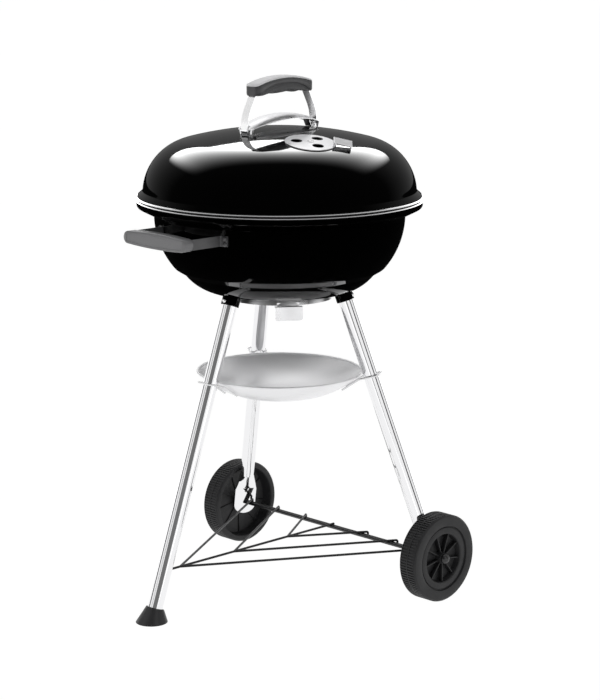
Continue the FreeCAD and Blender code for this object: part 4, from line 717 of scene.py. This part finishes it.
cameraData = bpy.data.cameras.new("mainCamera")
cameraData.lens = camera["lens"]
cameraData.sensor_width = 36
cameraData.shift_x = camera["shiftX"]
cameraData.shift_y = camera["shiftY"]
cameraObject = bpy.data.objects.new("mainCamera", cameraData)
cameraObject.location = camera["place"]
aimed(cameraObject, camera["target"])
bpy.context.scene.collection.objects.link(cameraObject)
bpy.context.scene.camera = cameraObject

# fade is where a panel's glow starts and is full across it, then how far in from its ends it is full
studio = {"enamelPanel": {"centre": (-0.863, 0.834, 2.3), "size": (4.5, 3.6), "strength": 8.5,
                          "fade": (-1.3, 1.4, 0.9), "corner": 0.7},
          "softPanel": {"centre": (-0.3, 0.3, 2.6), "size": (3.4, 3.4), "strength": 0.95},
          "rollRing": {"centre": (0, 0, 1.5), "size": (3.0, 3.6), "strength": 9.5},
          "sidePanels": ((37, 2.3, 0.95), (92, 1.9, 0.9), (140, 1.7, 0.95), (186, 1.9, 0.9), (232, 1.7, 0.95),
                         (280, 2.0, 0.9), (311, 0.9, 0.95), (348, 3.0, 0.16)),
          "sideReach": 3.0, "sideTall": 4.4, "sideMiddle": 2.05, "floorGlow": 1.0, "worldBehind": 0.17,
          "worldFront": 0.015, "rolls": ("lidRimRoll", "bowlRimRoll"), "unlit": "lidFlare"}


def receiverCollections():
    kinds = {kind: bpy.data.collections.new(kind) for kind in ("enamelShells", "rimRolls", "metalAndPlastic")}
    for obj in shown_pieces():
        names = {slot.material.name for slot in obj.material_slots if slot.material}
        if obj.name in studio["rolls"]:
            kinds["rimRolls"].objects.link(obj)
        elif "enamelBlack" not in names:
            kinds["metalAndPlastic"].objects.link(obj)
        elif obj.name != studio["unlit"]:
            kinds["enamelShells"].objects.link(obj)
    return kinds


def glowingPanel(name, centre, size, strength, receivers, target=None, turn=0.0, fade=None, corner=0.0, ring=False):
    bm = bmesh.new()
    if ring:
        bmesh.ops.create_cone(bm, cap_ends=False, segments=96, radius1=size[0], radius2=size[0], depth=size[1])
    else:
        bmesh.ops.create_grid(bm, x_segments=1, y_segments=1, size=0.5)
        bmesh.ops.scale(bm, vec=(size[0], size[1], 1), verts=bm.verts)
    if corner:
        softenCorners(bm, bm.verts[:], corner, 12)
    mesh = bpy.data.meshes.new(name)
    bm.to_mesh(mesh)
    bm.free()
    panel = bpy.data.objects.new(name, mesh)
    panel.location = centre
    if target:
        aimed(panel, target)
    else:
        panel.rotation_euler = (0, 0, turn)
    bpy.context.scene.collection.objects.link(panel)
    material = bpy.data.materials.new(name)
    material.use_nodes = True
    tree = material.node_tree
    tree.nodes.clear()
    out = tree.nodes.new("ShaderNodeOutputMaterial")
    glow = tree.nodes.new("ShaderNodeEmission")
    glow.inputs["Strength"].default_value = strength
    clear = tree.nodes.new("ShaderNodeBsdfTransparent")
    both = tree.nodes.new("ShaderNodeAddShader")
    tree.links.new(glow.outputs["Emission"], both.inputs[0])
    tree.links.new(clear.outputs["BSDF"], both.inputs[1])
    tree.links.new(both.outputs["Shader"], out.inputs["Surface"])
    if fade:
        coord = tree.nodes.new("ShaderNodeTexCoord")
        split = tree.nodes.new("ShaderNodeSeparateXYZ")
        spread = tree.nodes.new("ShaderNodeMapRange")
        spread.interpolation_type = "SMOOTHSTEP"
        spread.inputs["From Min"].default_value = fade[0]
        spread.inputs["From Max"].default_value = fade[1]
        spread.inputs["To Min"].default_value = 0.0
        spread.inputs["To Max"].default_value = strength
        tree.links.new(coord.outputs["Object"], split.inputs["Vector"])
        tree.links.new(split.outputs["Y"], spread.inputs["Value"])
        aside = tree.nodes.new("ShaderNodeMath")
        aside.operation = "ABSOLUTE"
        ends = tree.nodes.new("ShaderNodeMapRange")
        ends.interpolation_type = "SMOOTHSTEP"
        ends.inputs["From Min"].default_value = size[0] / 2
        ends.inputs["From Max"].default_value = size[0] / 2 - fade[2]
        product = tree.nodes.new("ShaderNodeMath")
        product.operation = "MULTIPLY"
        tree.links.new(split.outputs["X"], aside.inputs[0])
        tree.links.new(aside.outputs["Value"], ends.inputs["Value"])
        tree.links.new(spread.outputs["Result"], product.inputs[0])
        tree.links.new(ends.outputs["Result"], product.inputs[1])
        tree.links.new(product.outputs["Value"], glow.inputs["Strength"])
    mesh.materials.append(material)
    panel.visible_camera = False
    panel.visible_shadow = False
    panel.light_linking.receiver_collection = receivers
    return panel


def makeFloor(receivers):
    bm = bmesh.new()
    bmesh.ops.create_grid(bm, x_segments=1, y_segments=1, size=30)
    mesh = bpy.data.meshes.new("floor")
    bm.to_mesh(mesh)
    bm.free()
    floor = bpy.data.objects.new("floor", mesh)
    floor.location = (0, 0, -0.0005)
    bpy.context.scene.collection.objects.link(floor)
    material = bpy.data.materials.new("paleFloor")
    material.use_nodes = True
    shader = material.node_tree.nodes["Principled BSDF"]
    shader.inputs["Base Color"].default_value = (0.12, 0.12, 0.12, 1)
    shader.inputs["Roughness"].default_value = 0.9
    shader.inputs["Specular IOR Level"].default_value = 0.0
    shader.inputs["Emission Color"].default_value = (1, 1, 1, 1)
    shader.inputs["Emission Strength"].default_value = studio["floorGlow"]
    mesh.materials.append(material)
    floor.light_linking.receiver_collection = receivers


def makeWorld(viewAzimuth):
    world = bpy.data.worlds.new("studio")
    bpy.context.scene.world = world
    world.use_nodes = True
    tree = world.node_tree
    tree.nodes.clear()
    out = tree.nodes.new("ShaderNodeOutputWorld")
    seen = tree.nodes.new("ShaderNodeBackground")
    seen.inputs["Color"].default_value = (1, 1, 1, 1)
    lit = tree.nodes.new("ShaderNodeBackground")
    lit.inputs["Color"].default_value = (1, 1, 1, 1)
    coord = tree.nodes.new("ShaderNodeTexCoord")
    facing = tree.nodes.new("ShaderNodeVectorMath")
    facing.operation = "DOT_PRODUCT"
    facing.inputs[1].default_value = (math.cos(viewAzimuth), math.sin(viewAzimuth), 0)
    spread = tree.nodes.new("ShaderNodeMapRange")
    spread.inputs["From Min"].default_value = -0.9
    spread.inputs["From Max"].default_value = -0.2
    spread.inputs["To Min"].default_value = studio["worldBehind"]
    spread.inputs["To Max"].default_value = studio["worldFront"]
    path = tree.nodes.new("ShaderNodeLightPath")
    mix = tree.nodes.new("ShaderNodeMixShader")
    tree.links.new(coord.outputs["Generated"], facing.inputs[0])
    tree.links.new(facing.outputs["Value"], spread.inputs["Value"])
    tree.links.new(spread.outputs["Result"], lit.inputs["Strength"])
    tree.links.new(path.outputs["Is Camera Ray"], mix.inputs["Fac"])
    tree.links.new(lit.outputs["Background"], mix.inputs[1])
    tree.links.new(seen.outputs["Background"], mix.inputs[2])
    tree.links.new(mix.outputs["Shader"], out.inputs["Surface"])


def makeStudio():
    kinds = receiverCollections()
    others = kinds["metalAndPlastic"]
    viewAzimuth = math.atan2(camera["place"][1], camera["place"][0])
    makeWorld(viewAzimuth)
    makeFloor(others)
    big = studio["enamelPanel"]
    glowingPanel("enamelPanel", big["centre"], big["size"], big["strength"], kinds["enamelShells"],
                 turn=viewAzimuth + math.pi / 2, fade=big["fade"], corner=big["corner"])
    soft = studio["softPanel"]
    glowingPanel("softPanel", soft["centre"], soft["size"], soft["strength"], others)
    around = studio["rollRing"]
    glowingPanel("rollRing", around["centre"], around["size"], around["strength"], kinds["rimRolls"], ring=True)
    for i, (turn, width, strength) in enumerate(studio["sidePanels"]):
        angle = viewAzimuth + math.radians(turn)
        place = (studio["sideReach"] * math.cos(angle), studio["sideReach"] * math.sin(angle), studio["sideMiddle"])
        glowingPanel("sidePanel%d" % i, place, (width, studio["sideTall"]), strength, others,
                     target=(0, 0, studio["sideMiddle"]))


makeStudio()
view = bpy.context.scene.view_settings
view.view_transform = "Standard"
view.look = "None"
print("studio made")
